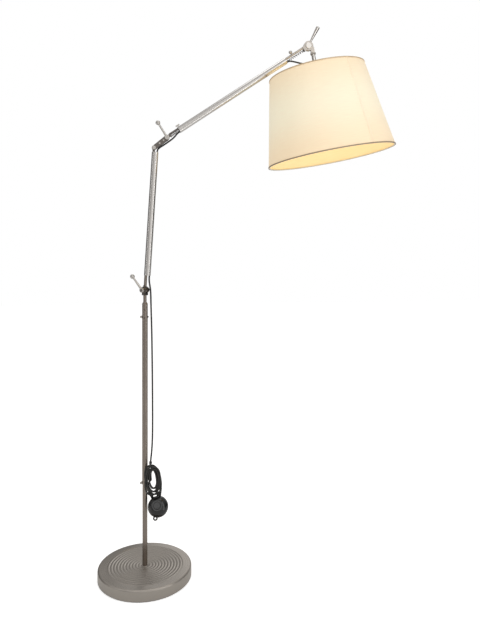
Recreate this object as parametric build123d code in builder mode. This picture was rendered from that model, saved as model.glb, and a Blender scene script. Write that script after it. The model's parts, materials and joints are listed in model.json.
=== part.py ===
from build123d import *
import math
import os

# Adjustable arm floor lamp, in millimetres.
# The origin is the centre of the base's underside. +Z runs up the pole, +X is the side that the arms
# reach towards, and the two arms and the shade's axis lie in the XZ plane.

os.makedirs("parts", exist_ok=True)

# ---- fits ----
running_gap = 0.05          # radial and face clearance of anything that turns or slides
seat_gap = 0.1              # clearance of a piece that is only dropped into its seat

# ---- base ----
base_radius = 140.0
base_height = 34.0
base_shoulder = 6.0         # radius of the cover's top edge
cover_wall = 1.2
cover_lift = 0.6            # the cover's lower edge above the pad
pad_inset = 3.0             # the pad's edge inside the cover's
pad_thickness = 2.0
weight_gap = 2.8            # between the weight and the cover's inside
weight_thickness = 20.0
weight_boss_radius = 30.0
rib_count = 11
rib_inner_radius = 12.0
plain_band = 27.0           # flat band outside the ribs
rib_height = 1.1
rib_floor_drop = 1.1        # the valleys between ribs lie this far below the plain outer band

# ---- pole ----
lower_pole_radius = 7.5
lower_pole_wall = 1.5
lower_pole_top = 540.0
stud_radius = 5.0
stud_length = 58.0
pole_plug_length = 30.0
nut_across_flats = 17.0
nut_height = 8.0
washer_radius = 12.0
washer_thickness = 2.0
nut_recess_radius = 15.0
nut_recess_depth = 12.0

upper_pole_wall = 0.95
ring_bottom = 279.0
ring_height = 8.0
ring_lip = 0.6              # the ring's edge outside the upper tube
ring_seat = 5.5             # height of the ring's guide below the upper tube
collar_bottom = 777.0
collar_height = 46.0
collar_cone = 5.0
collar_spigot = 20.0
stem_seat_depth = 36.0      # how deep the stem sits in the collar
set_screw_radius = 1.6
set_screw_heights = (4.0, 28.0)      # above the collar's lower edge
set_screw_sink = 0.7
cone_nut_root = 3.4
cone_nut_tip = 1.6
cone_nut_seat = 0.8
cone_nut_height = 2.6
thumb_screw_radius = 1.5
thumb_head_length = 6.0
thumb_head_root = 4.6
thumb_head_tip = 2.6

# ---- stem and lower clamp joint ----
stem_radius = 5.0
stem_spigot_radius = 4.0
stem_spigot_length = 4.0
lower_pivot = Vector(0, 0, 865)
joint_turn = 45.0           # the lower clamp bolt is turned this far about the pole
cheek_thickness = 4.5
cheek_radius = 10.0
clevis_foot_width = 11.0
clevis_foot_depth = 16.0
tongue_thickness = 6.0
bolt_radius = 3.0
socket_radius = 1.7

# ---- clamp levers ----
lever_hub_radius = 7.4
lever_hub_height = 8.5
lever_hub_round = 1.2
socket_depth = 2.5
flute_count = 16
flute_radius = 0.9
flute_outset = 0.5          # the flutes' centres outside the nut's edge
lever_length = 50.0
lever_root_radius = 3.7
lever_tip_radius = 2.9
lever_ball_radius = 7.0
clamp_nut_radius = 7.0
clamp_nut_height = 5.0

# ---- lower arm ----
lower_lean = 3.6            # degrees off the vertical, towards +X
lower_reach = 431.0         # pivot to pivot
arm_tube_radius = 10.0
arm_tube_wall = 1.0
lower_tube_start = 44.0
lower_tube_length = 374.0
tube_offset = 4.4           # the lower tube's axis beside its rods
foot_rod_radius = 4.5
foot_rod_depth = 25.0
foot_eye_radius = 8.5
top_rod_radius = 4.0
top_rod_depth = 22.0
top_eye_radius = 6.5
end_plug_length = 10.0

# ---- elbow link ----
link_length = 50.0
link_rise = 38.6            # degrees above the horizontal
link_plate_thickness = 3.0
link_low_radius = 6.6
link_high_radius = 7.8
pivot_screw_head_radius = 6.2
pivot_screw_head = 2.6
pivot_screw_round = 1.6
pivot_slot_length = 5.0
pivot_slot_width = 1.0
pivot_nut_height = 3.0
pivot_nut_half_flats = 5.0
link_spacers = ((22.0, 2.6), (37.0, 2.2))     # distance from the low pivot, radius

# ---- upper arm ----
upper_rise = 34.05          # degrees above the horizontal
upper_reach = 529.0
upper_tube_start = 44.0
upper_tube_length = 398.0
upper_eye_radius = 7.4
upper_rod_radius = 3.5
upper_rod_offset = -4.5     # towards the arm's upper side
upper_neck_width = 9.0
elbow_spring_radius = 3.0
elbow_spring_place = (2.2, 2.5)
spring_wire = 1.4
elbow_spring_turns = 9
spring_start = 15.0
wing_place = 4.0            # from the tube's lower end
wing_span = 13.0
wing_thickness = 3.0
wing_height = 4.5
wing_neck = 1.8

# ---- head joint ----
disc_radius = 14.5
disc_thickness = 7.0
head_rod_radius = 3.5
head_rod_place = (-4.0, -3.5)
head_rod_depth = 22.0
head_spring_radius = 3.6
head_spring_place = (3.6, 3.6)
head_spring_wire = 1.9
head_spring_turns = 9
face_cap_radius = 9.6
face_cap_height = 2.2
knob_radius = 5.6
knob_gap = 0.5              # between the knob and the rod that it screws into
knob_place = 27.0           # beyond the upper tube's end
spring_pad = 4.0            # thickness of the spring's seat beside the joint disc
spring_pad_place = 20.0     # from the pivot back to the seat
handle_hub_radius = 9.0
handle_hub_height = 7.5
handle_root_radius = 2.8
handle_end_radius = 6.2
handle_reach = 74.0
handle_end_round = 2.5
handle_turn = 62.3          # degrees above the horizontal

# ---- lampholder and shade, measured down the shade's own axis from the head pivot ----
shade_tilt = 10.2           # the shade's lower end leans this far towards +X
shade_offset = 12.0         # the shade's axis beside the pivot
shade_top = 84.0
shade_height = 269.0
shade_top_radius = 150.0
shade_bottom_radius = 200.0
shade_wall = 1.2
rim_wire = 1.75
knuckle_depth = 22.0
stem_nut_radius = 8.5
stem_nut_height = 5.0
holder_stem_radius = 6.0
holder_top = 76.0
holder_cap_height = 22.0
holder_cap_radius = 17.0
holder_radius = 20.0
holder_flange_radius = 24.0
holder_flange = 4.0
holder_length = 42.0
holder_bore = 13.7
holder_floor = 14.0
contact_height = 4.0
contact_radius = 5.0
contact_pin_radius = 2.0
carrier_ring_radius = 26.0
carrier_thickness = 2.0
clamp_ring_height = 8.0
bulb_cap_radius = 13.3
bulb_cap_length = 24.0
bulb_radius = 30.0
bulb_length = 90.0
bulb_neck_radius = 14.0
bulb_neck_length = 10.0

# ---- lead, foot switch and plug ----
lead_diameter = 5.0
tube_lead_place = 5.9       # from the lower tube's axis towards +X
upper_lead_place = (5.8, -2.6)
holder_lead_place = -12.5   # beside the shade's axis, towards the arm
switch_centre = Vector(40, -14, 213)
switch_normal = Vector(-0.12, -0.86, 0.5)
switch_radius = 30.5
switch_height = 24.0
switch_rim = 7.0
switch_wall = 2.0
switch_top_radius = 15.0
button_radius = 11.2
button_height = 7.5
button_travel = 3.0
button_flange = 2.0
button_flange_radius = 12.6
base_plate = 2.5
plate_screw_circle = 20.0
plate_screw_radius = 1.6
plate_screw_length = 6.0
block_length = 20.0
block_width = 16.0
block_height = 8.0
eye_outer_radius = 7.0
eye_inner_radius = 2.7
eye_thickness = 4.0
eye_angle = 256.0
gland_angles = (80.0, 123.0)
gland_length = 15.0
gland_radius = 4.4
gland_tip_radius = 3.2
plug_top = Vector(38, 22, 225)
plug_width = 35.0
plug_thickness = 13.6
plug_length = 36.0
pin_radius = 2.0
pin_length = 19.0
pin_spacing = 19.0
hank_centre = (25.0, 294.0)
hank_width = 54.0
hank_height = 100.0
hank_front = -26.0
hank_back = -10.0
hank_hole_centre = (29.0, 305.0)
hank_hole_width = 13.0
hank_hole_height = 42.0
tie_height = 6.0
tie_gap = 0.3
tie_start = 7.3             # from the lead's end in the hank up to the tie
tie_radius = 4.3

# ---- places that follow from the sizes ----
front = Vector(0, -1, 0)
pad_radius = base_radius - pad_inset
weight_radius = base_radius - cover_wall - weight_gap
rib_outer_radius = base_radius - plain_band
lower_pole_bore = lower_pole_radius - lower_pole_wall
upper_bore = lower_pole_radius + running_gap
upper_pole_radius = upper_bore + upper_pole_wall
ring_radius = upper_pole_radius + ring_lip
total_cheeks = tongue_thickness + 2 * running_gap + 2 * cheek_thickness
link_half = tongue_thickness / 2 + running_gap


def along(elevation):
    """Direction in the XZ plane at this many degrees above +X."""
    return Vector(math.cos(math.radians(elevation)), 0, math.sin(math.radians(elevation)))


def arm_plane(point, elevation):
    """Plane across an arm: local z runs along the arm, local x points to its lower or outer side."""
    return Plane(origin=point, x_dir=along(elevation - 90), z_dir=along(elevation))


lower_rise = 90 - lower_lean
elbow_low = lower_pivot + along(lower_rise) * lower_reach
elbow_high = elbow_low + along(link_rise) * link_length
head_pivot = elbow_high + along(upper_rise) * upper_reach
lower_arm = arm_plane(lower_pivot, lower_rise)
upper_arm = arm_plane(elbow_high, upper_rise)
# Down the shade: local z runs down its axis, local x points away from the arm.
shade_down = along(shade_tilt - 90)
shade_axis = Plane(
    origin=head_pivot + along(shade_tilt) * shade_offset + Vector(0, disc_thickness / 2, 0),
    x_dir=along(shade_tilt),
    z_dir=shade_down,
)
turned = math.radians(joint_turn)
clamp_out = Vector(-math.sin(turned), -math.cos(turned), 0)
lower_clamp = Plane(origin=lower_pivot, x_dir=(math.cos(turned), -math.sin(turned), 0), z_dir=clamp_out)
switch_plane = Plane(origin=switch_centre, x_dir=(1, 0, 0), z_dir=switch_normal)


def save(shape, name):
    """Label one finished piece and write it to its own file."""
    shape.label = name
    export_step(shape, f"parts/{name}.step")


def local_point(plane, x, y, z):
    """World position of a point given in a plane's own coordinates."""
    return plane.origin + plane.x_dir * x + plane.y_dir * y + plane.z_dir * z


# ======================= base =======================
with BuildPart() as base_pad:
    with BuildSketch(Plane.XY):
        Circle(pad_radius)
    extrude(amount=pad_thickness)
save(base_pad.part, "base_pad")

weight_bottom = pad_thickness
cover_underside = base_height - rib_floor_drop - cover_wall
with BuildPart() as base_weight:
    with BuildSketch(Plane.XY.offset(weight_bottom)):
        Circle(weight_radius)
    extrude(amount=weight_thickness)
    chamfer(base_weight.edges().filter_by(GeomType.CIRCLE).group_by(Axis.Z)[-1], length=3)
    with BuildSketch(Plane.XY.offset(weight_bottom)):
        Circle(weight_boss_radius)
    extrude(amount=cover_underside - weight_bottom)
    with BuildSketch(Plane.XY.offset(weight_bottom)):
        Circle(nut_recess_radius)
    extrude(amount=nut_recess_depth, mode=Mode.SUBTRACT)
    with BuildSketch(Plane.XY.offset(weight_bottom)):
        Circle(stud_radius + seat_gap)
    extrude(amount=base_height, mode=Mode.SUBTRACT)
save(base_weight.part, "base_weight")

rib_pitch = (rib_outer_radius - rib_inner_radius) / rib_count
rib_floor = base_height - rib_floor_drop
with BuildPart() as base_cover:
    with BuildSketch(Plane.XZ):
        with BuildLine():
            Polyline((stud_radius + seat_gap, cover_underside), (stud_radius + seat_gap, rib_floor + rib_height),
                     (rib_inner_radius - 1, rib_floor + rib_height), (rib_inner_radius, rib_floor))
            for rib in range(rib_count):
                start = rib_inner_radius + rib * rib_pitch
                ThreePointArc((start, rib_floor), (start + rib_pitch / 2, rib_floor + rib_height),
                              (start + rib_pitch, rib_floor))
            Polyline((rib_outer_radius, rib_floor), (rib_outer_radius + 1.2, base_height),
                     (base_radius - base_shoulder, base_height))
            RadiusArc((base_radius - base_shoulder, base_height), (base_radius, base_height - base_shoulder),
                      base_shoulder)
            Polyline((base_radius, base_height - base_shoulder), (base_radius, pad_thickness + cover_lift),
                     (base_radius - cover_wall, pad_thickness + cover_lift),
                     (base_radius - cover_wall, base_height - base_shoulder),
                     (base_radius - base_shoulder, cover_underside), (stud_radius + seat_gap, cover_underside))
        make_face()
    revolve(axis=Axis.Z)
save(base_cover.part, "base_cover")

washer_bottom = weight_bottom + nut_recess_depth - washer_thickness
nut_bottom = washer_bottom - nut_height
pole_foot = rib_floor + rib_height
stud_bottom = nut_bottom - 1
with BuildPart() as base_fasteners:
    with BuildSketch(Plane.XY.offset(washer_bottom)):
        Circle(washer_radius)
        Circle(stud_radius + running_gap, mode=Mode.SUBTRACT)
    extrude(amount=washer_thickness)
    with BuildSketch(Plane.XY.offset(nut_bottom)):
        RegularPolygon(nut_across_flats / 2, 6, major_radius=False)
        Circle(stud_radius + running_gap, mode=Mode.SUBTRACT)
    extrude(amount=nut_height - running_gap)
    with BuildSketch(Plane.XY.offset(stud_bottom)):
        Circle(stud_radius)
    extrude(amount=stud_length)
    chamfer(base_fasteners.edges().group_by(Axis.Z)[0], length=0.8)
save(base_fasteners.part, "base_fasteners")

with BuildPart() as lower_pole_tube:
    with BuildSketch(Plane.XY.offset(pole_foot)):
        Circle(lower_pole_radius)
        Circle(lower_pole_bore, mode=Mode.SUBTRACT)
    extrude(amount=lower_pole_top - pole_foot)
    with BuildSketch(Plane.XY.offset(pole_foot)):
        Circle(lower_pole_bore)
    extrude(amount=pole_plug_length)
    with BuildSketch(Plane.XY.offset(pole_foot)):
        Circle(stud_radius)
    extrude(amount=stud_bottom + stud_length - pole_foot, mode=Mode.SUBTRACT)
save(lower_pole_tube.part, "lower_pole_tube")

# ======================= upper pole =======================
upper_tube_bottom = ring_bottom + ring_seat
ring_screw_height = ring_bottom + ring_seat / 2
collar_screw_height = collar_bottom + 6.5

with BuildPart() as upper_pole_tube:
    with BuildSketch(Plane.XY.offset(upper_tube_bottom)):
        Circle(upper_pole_radius)
        Circle(upper_bore, mode=Mode.SUBTRACT)
    extrude(amount=collar_bottom - upper_tube_bottom)
save(upper_pole_tube.part, "upper_pole_tube")

with BuildPart() as pole_ring:
    with BuildSketch(Plane.XY.offset(ring_bottom)):
        Circle(ring_radius)
        Circle(upper_bore, mode=Mode.SUBTRACT)
    extrude(amount=ring_height)
    with BuildSketch(Plane.XY.offset(upper_tube_bottom)):
        Circle(upper_pole_radius)
    extrude(amount=ring_height, mode=Mode.SUBTRACT)
    with BuildSketch(Plane.YZ):
        with Locations((0, ring_screw_height)):
            Circle(thumb_screw_radius + running_gap)
    extrude(amount=-2 * ring_radius, mode=Mode.SUBTRACT)
save(pole_ring.part, "pole_ring")


def thumb_screw(height, tip_x, face_x):
    """Side screw along X with a tapered knurled head, its tip near the pole and its head on -X."""
    with BuildPart() as screw:
        with BuildSketch(Plane.YZ.offset(-face_x - seat_gap)):
            with Locations((0, height)):
                Circle(thumb_screw_radius)
        extrude(amount=face_x + seat_gap - tip_x)
        with BuildSketch(Plane.YZ.offset(-face_x - seat_gap)):
            with Locations((0, height)):
                Circle(thumb_head_root)
        with BuildSketch(Plane.YZ.offset(-face_x - seat_gap - thumb_head_length)):
            with Locations((0, height)):
                Circle(thumb_head_tip)
        loft()
    return screw.part


save(thumb_screw(ring_screw_height, lower_pole_radius + running_gap, ring_radius), "ring_thumb_screw")

stem_seat = collar_bottom + collar_height + collar_cone - stem_seat_depth
with BuildPart() as pole_collar:
    with BuildSketch(Plane.XZ):
        with BuildLine():
            Polyline((0, collar_bottom - collar_spigot), (upper_bore - 1, collar_bottom - collar_spigot),
                     (upper_bore, collar_bottom - collar_spigot + 1), (upper_bore, collar_bottom),
                     (upper_pole_radius, collar_bottom), (upper_pole_radius, collar_bottom + collar_height),
                     (stem_radius + 0.8, collar_bottom + collar_height + collar_cone),
                     (stem_radius + running_gap, collar_bottom + collar_height + collar_cone),
                     (stem_radius + running_gap, stem_seat), (0, stem_seat), close=True)
        make_face()
    revolve(axis=Axis.Z)
    with BuildSketch(Plane.XZ):
        with Locations(*[(0, collar_bottom + h) for h in set_screw_heights]):
            Circle(set_screw_radius)
    extrude(amount=upper_pole_radius + 1, mode=Mode.SUBTRACT)
    with BuildSketch(Plane.YZ):
        with Locations((0, collar_screw_height)):
            Circle(thumb_screw_radius + running_gap)
    extrude(amount=-upper_pole_radius - 1, mode=Mode.SUBTRACT)
    with BuildSketch(Plane.YZ.offset(upper_pole_radius - cone_nut_seat)):
        with Locations((0, collar_screw_height)):
            Circle(cone_nut_root)
    extrude(amount=2 * cone_nut_seat, mode=Mode.SUBTRACT)
save(pole_collar.part, "pole_collar")

# Two grub screws in the collar's front, where the upper one holds the stem, and a cone nut on its side.
with BuildPart() as collar_screws:
    with BuildSketch(Plane.XZ.offset(stem_radius + 2 * running_gap)):
        with Locations(*[(0, collar_bottom + h) for h in set_screw_heights]):
            Circle(set_screw_radius)
    extrude(amount=upper_pole_radius - set_screw_sink - stem_radius - 2 * running_gap)
    with BuildSketch(Plane.YZ.offset(upper_pole_radius - cone_nut_seat)):
        with Locations((0, collar_screw_height)):
            Circle(cone_nut_root)
    with BuildSketch(Plane.YZ.offset(upper_pole_radius + cone_nut_height)):
        with Locations((0, collar_screw_height)):
            Circle(cone_nut_tip)
    loft()
save(collar_screws.part, "collar_screws")

save(thumb_screw(collar_screw_height, 1.0, upper_pole_radius), "collar_thumb_screw")

# ======================= stem and its clevis =======================
clevis_bottom = lower_pivot.Z - clevis_foot_depth
with BuildPart() as stem_rod:
    with BuildSketch(Plane.XY.offset(stem_seat + running_gap)):
        Circle(stem_radius)
    extrude(amount=clevis_bottom - stem_seat - running_gap)
    with BuildSketch(Plane.XY.offset(clevis_bottom)):
        Circle(stem_spigot_radius)
    extrude(amount=stem_spigot_length)
save(stem_rod.part, "stem_rod")

with BuildPart() as stem_clevis:
    with BuildSketch(lower_clamp.offset(-total_cheeks / 2)):
        Circle(cheek_radius)
        with Locations((0, -clevis_foot_depth / 2)):
            Rectangle(clevis_foot_width, clevis_foot_depth)
    extrude(amount=total_cheeks)
    with BuildSketch(lower_clamp.offset(-link_half)):
        with Locations((0, cheek_radius)):
            Rectangle(3 * cheek_radius, 2 * (cheek_radius + foot_eye_radius + 0.6))
    extrude(amount=2 * link_half, mode=Mode.SUBTRACT)
    with BuildSketch(lower_clamp.offset(-total_cheeks)):
        Circle(bolt_radius + running_gap)
    extrude(amount=2 * total_cheeks, mode=Mode.SUBTRACT)
    with BuildSketch(Plane.XY.offset(clevis_bottom)):
        Circle(stem_spigot_radius)
    extrude(amount=stem_spigot_length, mode=Mode.SUBTRACT)
save(stem_clevis.part, "stem_clevis")


# ======================= clamp bolts, nuts and levers =======================
def clamp_nut(plane, bottom, height):
    """Round nut with grip flutes, with the bolt's running clearance."""
    with BuildPart() as nut:
        with BuildSketch(plane.offset(bottom)):
            Circle(clamp_nut_radius)
            with PolarLocations(clamp_nut_radius + flute_outset, flute_count):
                Circle(flute_radius, mode=Mode.SUBTRACT)
            Circle(bolt_radius + running_gap, mode=Mode.SUBTRACT)
        extrude(amount=height)
    return nut.part


def ball_lever(plane, bolt_bottom, bottom, direction):
    """Clamp lever: a plain bolt, a hub on its outer end and a tapered arm with a ball at its end."""
    with BuildPart() as lever:
        with BuildSketch(plane.offset(bottom)):
            Circle(lever_hub_radius)
        extrude(amount=lever_hub_height)
        fillet(lever.edges().filter_by(GeomType.CIRCLE), radius=lever_hub_round)
        root = local_point(plane, 0, 0, bottom + lever_hub_height / 2)
        reach = Plane(origin=root, z_dir=direction)
        ball_start = lever_length - math.sqrt(lever_ball_radius ** 2 - lever_tip_radius ** 2)
        with BuildSketch(Plane(origin=root, x_dir=reach.x_dir, z_dir=-reach.y_dir)):
            with BuildLine():
                Polyline((0, lever_length + lever_ball_radius), (0, 0), (lever_root_radius, 0),
                         (lever_tip_radius, ball_start))
                ThreePointArc((lever_tip_radius, ball_start), (lever_ball_radius, lever_length),
                              (0, lever_length + lever_ball_radius))
            make_face()
        revolve(axis=Axis(root, direction))
        with BuildSketch(plane.offset(bottom)):
            Circle(bolt_radius + running_gap)
        extrude(amount=lever_hub_height + lever_root_radius, mode=Mode.SUBTRACT)
        with BuildSketch(plane.offset(bolt_bottom)):
            Circle(bolt_radius)
        extrude(amount=bottom + lever_hub_height - bolt_bottom)
        with BuildSketch(plane.offset(bottom + lever_hub_height)):
            RegularPolygon(socket_radius, 6)
        extrude(amount=-socket_depth, mode=Mode.SUBTRACT)
    return lever.part


def lever_direction(plane, turn, lean):
    """Direction of a lever: turned in the clamp's plane from its own up, and leaning outwards."""
    flat = plane.x_dir * -math.sin(math.radians(turn)) + plane.y_dir * math.cos(math.radians(turn))
    return flat * math.cos(math.radians(lean)) + plane.z_dir * math.sin(math.radians(lean))


hub_bottom = total_cheeks / 2 + running_gap
nut_bottom_face = -total_cheeks / 2 - clamp_nut_height
save(clamp_nut(lower_clamp, nut_bottom_face, clamp_nut_height), "lower_clamp_nut")
lower_lever_way = lever_direction(lower_clamp, 30, 20)
save(ball_lever(lower_clamp, nut_bottom_face, hub_bottom, lower_lever_way), "lower_clamp_lever")

# ======================= lower arm =======================
foot_flat_end = cheek_radius + 4.0
with BuildPart() as lower_arm_foot_rod:
    with BuildSketch(lower_clamp.offset(-tongue_thickness / 2)):
        Circle(foot_eye_radius)
        with Locations((0, foot_flat_end / 2)):
            Rectangle(2 * foot_rod_radius, foot_flat_end)
    extrude(amount=tongue_thickness)
    with BuildSketch(lower_arm.offset(cheek_radius + 1.0)):
        Circle(foot_rod_radius)
    extrude(amount=lower_tube_start + foot_rod_depth - cheek_radius - 1.0)
    with BuildSketch(lower_clamp.offset(-tongue_thickness)):
        Circle(bolt_radius + running_gap)
    extrude(amount=2 * tongue_thickness, mode=Mode.SUBTRACT)
save(lower_arm_foot_rod.part, "lower_arm_foot_rod")

arm_bore = arm_tube_radius - arm_tube_wall
with BuildPart() as lower_arm_tube:
    with BuildSketch(lower_arm.offset(lower_tube_start)):
        with Locations((tube_offset, 0)):
            Circle(arm_tube_radius)
            Circle(arm_bore, mode=Mode.SUBTRACT)
    extrude(amount=lower_tube_length)
save(lower_arm_tube.part, "lower_arm_tube")


lead_radius = lead_diameter / 2
lead_hole = lead_radius + seat_gap
lead_x = tube_offset + tube_lead_place
lower_tube_end = lower_tube_start + lower_tube_length
with BuildPart() as lower_arm_end_plugs:
    for start, rod in ((lower_tube_start, foot_rod_radius), (lower_tube_end - end_plug_length, top_rod_radius)):
        with BuildSketch(lower_arm.offset(start)):
            with Locations((tube_offset, 0)):
                Circle(arm_bore)
            Circle(rod, mode=Mode.SUBTRACT)
            with Locations((lead_x, 0)):
                Circle(lead_hole, mode=Mode.SUBTRACT)
        extrude(amount=end_plug_length)
save(lower_arm_end_plugs.part, "lower_arm_end_plugs")

with BuildPart() as lower_arm_lead:
    with BuildSketch(lower_arm.offset(lower_tube_start)):
        with Locations((lead_x, 0)):
            Circle(lead_radius)
    extrude(amount=lower_tube_length)
save(lower_arm_lead.part, "lower_arm_lead")

top_flat_start = lower_reach - top_eye_radius - 1.0
with BuildPart() as lower_arm_top_rod:
    with BuildSketch(lower_arm.offset(lower_tube_end - top_rod_depth)):
        Circle(top_rod_radius)
    extrude(amount=top_flat_start - lower_tube_end + top_rod_depth)
    with BuildSketch(lower_arm.offset(top_flat_start - 2)):
        Rectangle(2 * top_rod_radius - 1.4, tongue_thickness)
    extrude(amount=lower_reach - top_flat_start + 2)
    with BuildSketch(Plane.XZ.offset(-tongue_thickness / 2)):
        with Locations((elbow_low.X, elbow_low.Z)):
            Circle(top_eye_radius)
    extrude(amount=tongue_thickness)
    with BuildSketch(Plane.XZ.offset(-tongue_thickness)):
        with Locations((elbow_low.X, elbow_low.Z)):
            Circle(bolt_radius + running_gap)
    extrude(amount=2 * tongue_thickness, mode=Mode.SUBTRACT)
save(lower_arm_top_rod.part, "lower_arm_top_rod")

# ======================= elbow link =======================
low_point = (elbow_low.X, elbow_low.Z)
high_point = (elbow_high.X, elbow_high.Z)
spacer_points = []
for distance, radius in link_spacers:
    spot = elbow_low + along(link_rise) * distance
    spacer_points.append((spot.X, spot.Z, radius))


link_face = link_half + link_plate_thickness
with BuildPart() as elbow_plates:
    for front_face in (-link_half, link_face):
        with BuildSketch(Plane.XZ.offset(front_face)):
            with Locations(low_point):
                Circle(link_low_radius)
            with Locations(high_point):
                Circle(link_high_radius)
            make_hull()
            with Locations(low_point):
                Circle(bolt_radius, mode=Mode.SUBTRACT)
            with Locations(high_point):
                Circle(bolt_radius + running_gap, mode=Mode.SUBTRACT)
            for x, z, radius in spacer_points:
                with Locations((x, z)):
                    Circle(radius, mode=Mode.SUBTRACT)
        extrude(amount=-link_plate_thickness)
save(elbow_plates.part, "elbow_plates")

elbow_clamp = Plane(origin=elbow_high, x_dir=(1, 0, 0), z_dir=front)
# Two spacers through the plates, the slotted pivot screw with its nut, and the clamp's round nut.
with BuildPart() as elbow_fasteners:
    with BuildSketch(Plane.XZ.offset(-link_face)):
        for x, z, radius in spacer_points:
            with Locations((x, z)):
                Circle(radius)
    extrude(amount=2 * link_face)
    with BuildSketch(Plane.XZ.offset(link_face)):
        with Locations(low_point):
            Circle(pivot_screw_head_radius)
    extrude(amount=pivot_screw_head)
    head_edges = elbow_fasteners.edges().filter_by(GeomType.CIRCLE).group_by(Axis.Y)[0]
    fillet(head_edges, radius=pivot_screw_round)
    with BuildSketch(Plane.XZ.offset(link_face + pivot_screw_head)):
        with Locations(low_point):
            Rectangle(pivot_slot_length, pivot_slot_width, rotation=35)
    extrude(amount=-pivot_slot_width, mode=Mode.SUBTRACT)
    with BuildSketch(Plane.XZ.offset(-link_face - pivot_nut_height)):
        with Locations(low_point):
            Circle(bolt_radius)
    extrude(amount=2 * link_face + pivot_nut_height)
    with BuildSketch(Plane.XZ.offset(-link_face - pivot_nut_height)):
        with Locations(low_point):
            RegularPolygon(pivot_nut_half_flats, 6, major_radius=False)
            Circle(bolt_radius + running_gap, mode=Mode.SUBTRACT)
    extrude(amount=pivot_nut_height)
    add(clamp_nut(elbow_clamp, -link_face - clamp_nut_height, clamp_nut_height))
save(elbow_fasteners.part, "elbow_fasteners")

elbow_lever_way = lever_direction(elbow_clamp, 33, 10)
elbow_lever = ball_lever(elbow_clamp, -link_face - clamp_nut_height, link_face + running_gap, elbow_lever_way)
save(elbow_lever, "elbow_clamp_lever")

# ======================= upper arm =======================
upper_tube_end = upper_tube_start + upper_tube_length
neck_start = link_high_radius + 1.0
with BuildPart() as upper_arm_foot_rod:
    with BuildSketch(upper_arm):
        with Locations((-1.5, 0)):
            Rectangle(upper_neck_width, tongue_thickness)
    extrude(amount=spring_start)
    with BuildSketch(upper_arm.offset(neck_start + 3)):
        with Locations((upper_rod_offset, 0)):
            Circle(upper_rod_radius)
    extrude(amount=upper_tube_start + head_rod_depth - neck_start - 3)
    with BuildSketch(upper_arm.offset(neck_start + 3)):
        with Locations(elbow_spring_place):
            Circle(elbow_spring_radius + 0.4)
    extrude(amount=spring_start - neck_start - 3)
    with BuildSketch(Plane.XZ.offset(-tongue_thickness / 2)):
        with Locations(high_point):
            Circle(upper_eye_radius)
    extrude(amount=tongue_thickness)
    with BuildSketch(Plane.XZ.offset(-tongue_thickness)):
        with Locations(high_point):
            Circle(bolt_radius + running_gap)
    extrude(amount=2 * tongue_thickness, mode=Mode.SUBTRACT)
save(upper_arm_foot_rod.part, "upper_arm_foot_rod")


def coil_spring(plane, place, start, length, turns, radius, wire):
    """Open coil spring along a plane's normal, its ends against the faces at each side."""
    with BuildPart() as spring:
        with BuildLine() as coil:
            Helix(pitch=(length - wire) / turns, height=length - wire, radius=radius - wire / 2,
                  center=local_point(plane, place[0], place[1], start + wire / 2), direction=plane.z_dir)
        with BuildSketch(Plane(origin=coil.line @ 0, z_dir=coil.line % 0)):
            Circle(wire / 2)
        sweep(path=coil.line, is_frenet=True)
    return spring.part


pad_start = upper_reach - spring_pad_place
with BuildPart() as arm_springs:
    add(coil_spring(upper_arm, elbow_spring_place, spring_start, upper_tube_start - spring_start,
                    elbow_spring_turns, elbow_spring_radius, spring_wire))
    add(coil_spring(upper_arm, head_spring_place, upper_tube_end, pad_start - upper_tube_end,
                    head_spring_turns, head_spring_radius, head_spring_wire))
save(arm_springs.part, "arm_springs")

wing_axis = Plane(
    origin=local_point(upper_arm, 0, 0, upper_tube_start + wing_place),
    x_dir=upper_arm.z_dir,
    z_dir=-upper_arm.x_dir,
)
with BuildPart() as upper_arm_tube:
    with BuildSketch(upper_arm.offset(upper_tube_start)):
        Circle(arm_tube_radius)
        Circle(arm_bore, mode=Mode.SUBTRACT)
    extrude(amount=upper_tube_length)
    with BuildSketch(wing_axis):
        Circle(thumb_screw_radius + running_gap)
    extrude(amount=arm_tube_radius + 1, mode=Mode.SUBTRACT)
save(upper_arm_tube.part, "upper_arm_tube")

foot_rod_at = (upper_rod_offset, 0, upper_rod_radius)
head_rod_at = (*head_rod_place, head_rod_radius)
with BuildPart() as upper_arm_end_plugs:
    for start, rod in ((upper_tube_start, foot_rod_at), (upper_tube_end - end_plug_length, head_rod_at)):
        with BuildSketch(upper_arm.offset(start)):
            Circle(arm_bore)
            for x, y, radius in (rod, (*upper_lead_place, lead_hole)):
                with Locations((x, y)):
                    Circle(radius, mode=Mode.SUBTRACT)
        extrude(amount=end_plug_length)
    with BuildSketch(wing_axis.offset(-upper_rod_offset + upper_rod_radius - 0.5)):
        Circle(thumb_screw_radius + running_gap)
    extrude(amount=arm_tube_radius, mode=Mode.SUBTRACT)
save(upper_arm_end_plugs.part, "upper_arm_end_plugs")

with BuildPart() as wing_screw:
    with BuildSketch(wing_axis.offset(-upper_rod_offset + upper_rod_radius + running_gap)):
        Circle(thumb_screw_radius)
    extrude(amount=arm_tube_radius + wing_neck + upper_rod_offset - upper_rod_radius)
    with BuildSketch(wing_axis.offset(arm_tube_radius + wing_neck)):
        Rectangle(wing_span, wing_thickness)
    extrude(amount=wing_height)
    fillet(wing_screw.edges().filter_by(Axis.Y), radius=1.2)
save(wing_screw.part, "wing_screw")

with BuildPart() as upper_arm_lead:
    with BuildSketch(upper_arm.offset(upper_tube_start)):
        with Locations(upper_lead_place):
            Circle(lead_radius)
    extrude(amount=upper_tube_length)
save(upper_arm_lead.part, "upper_arm_lead")

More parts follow.
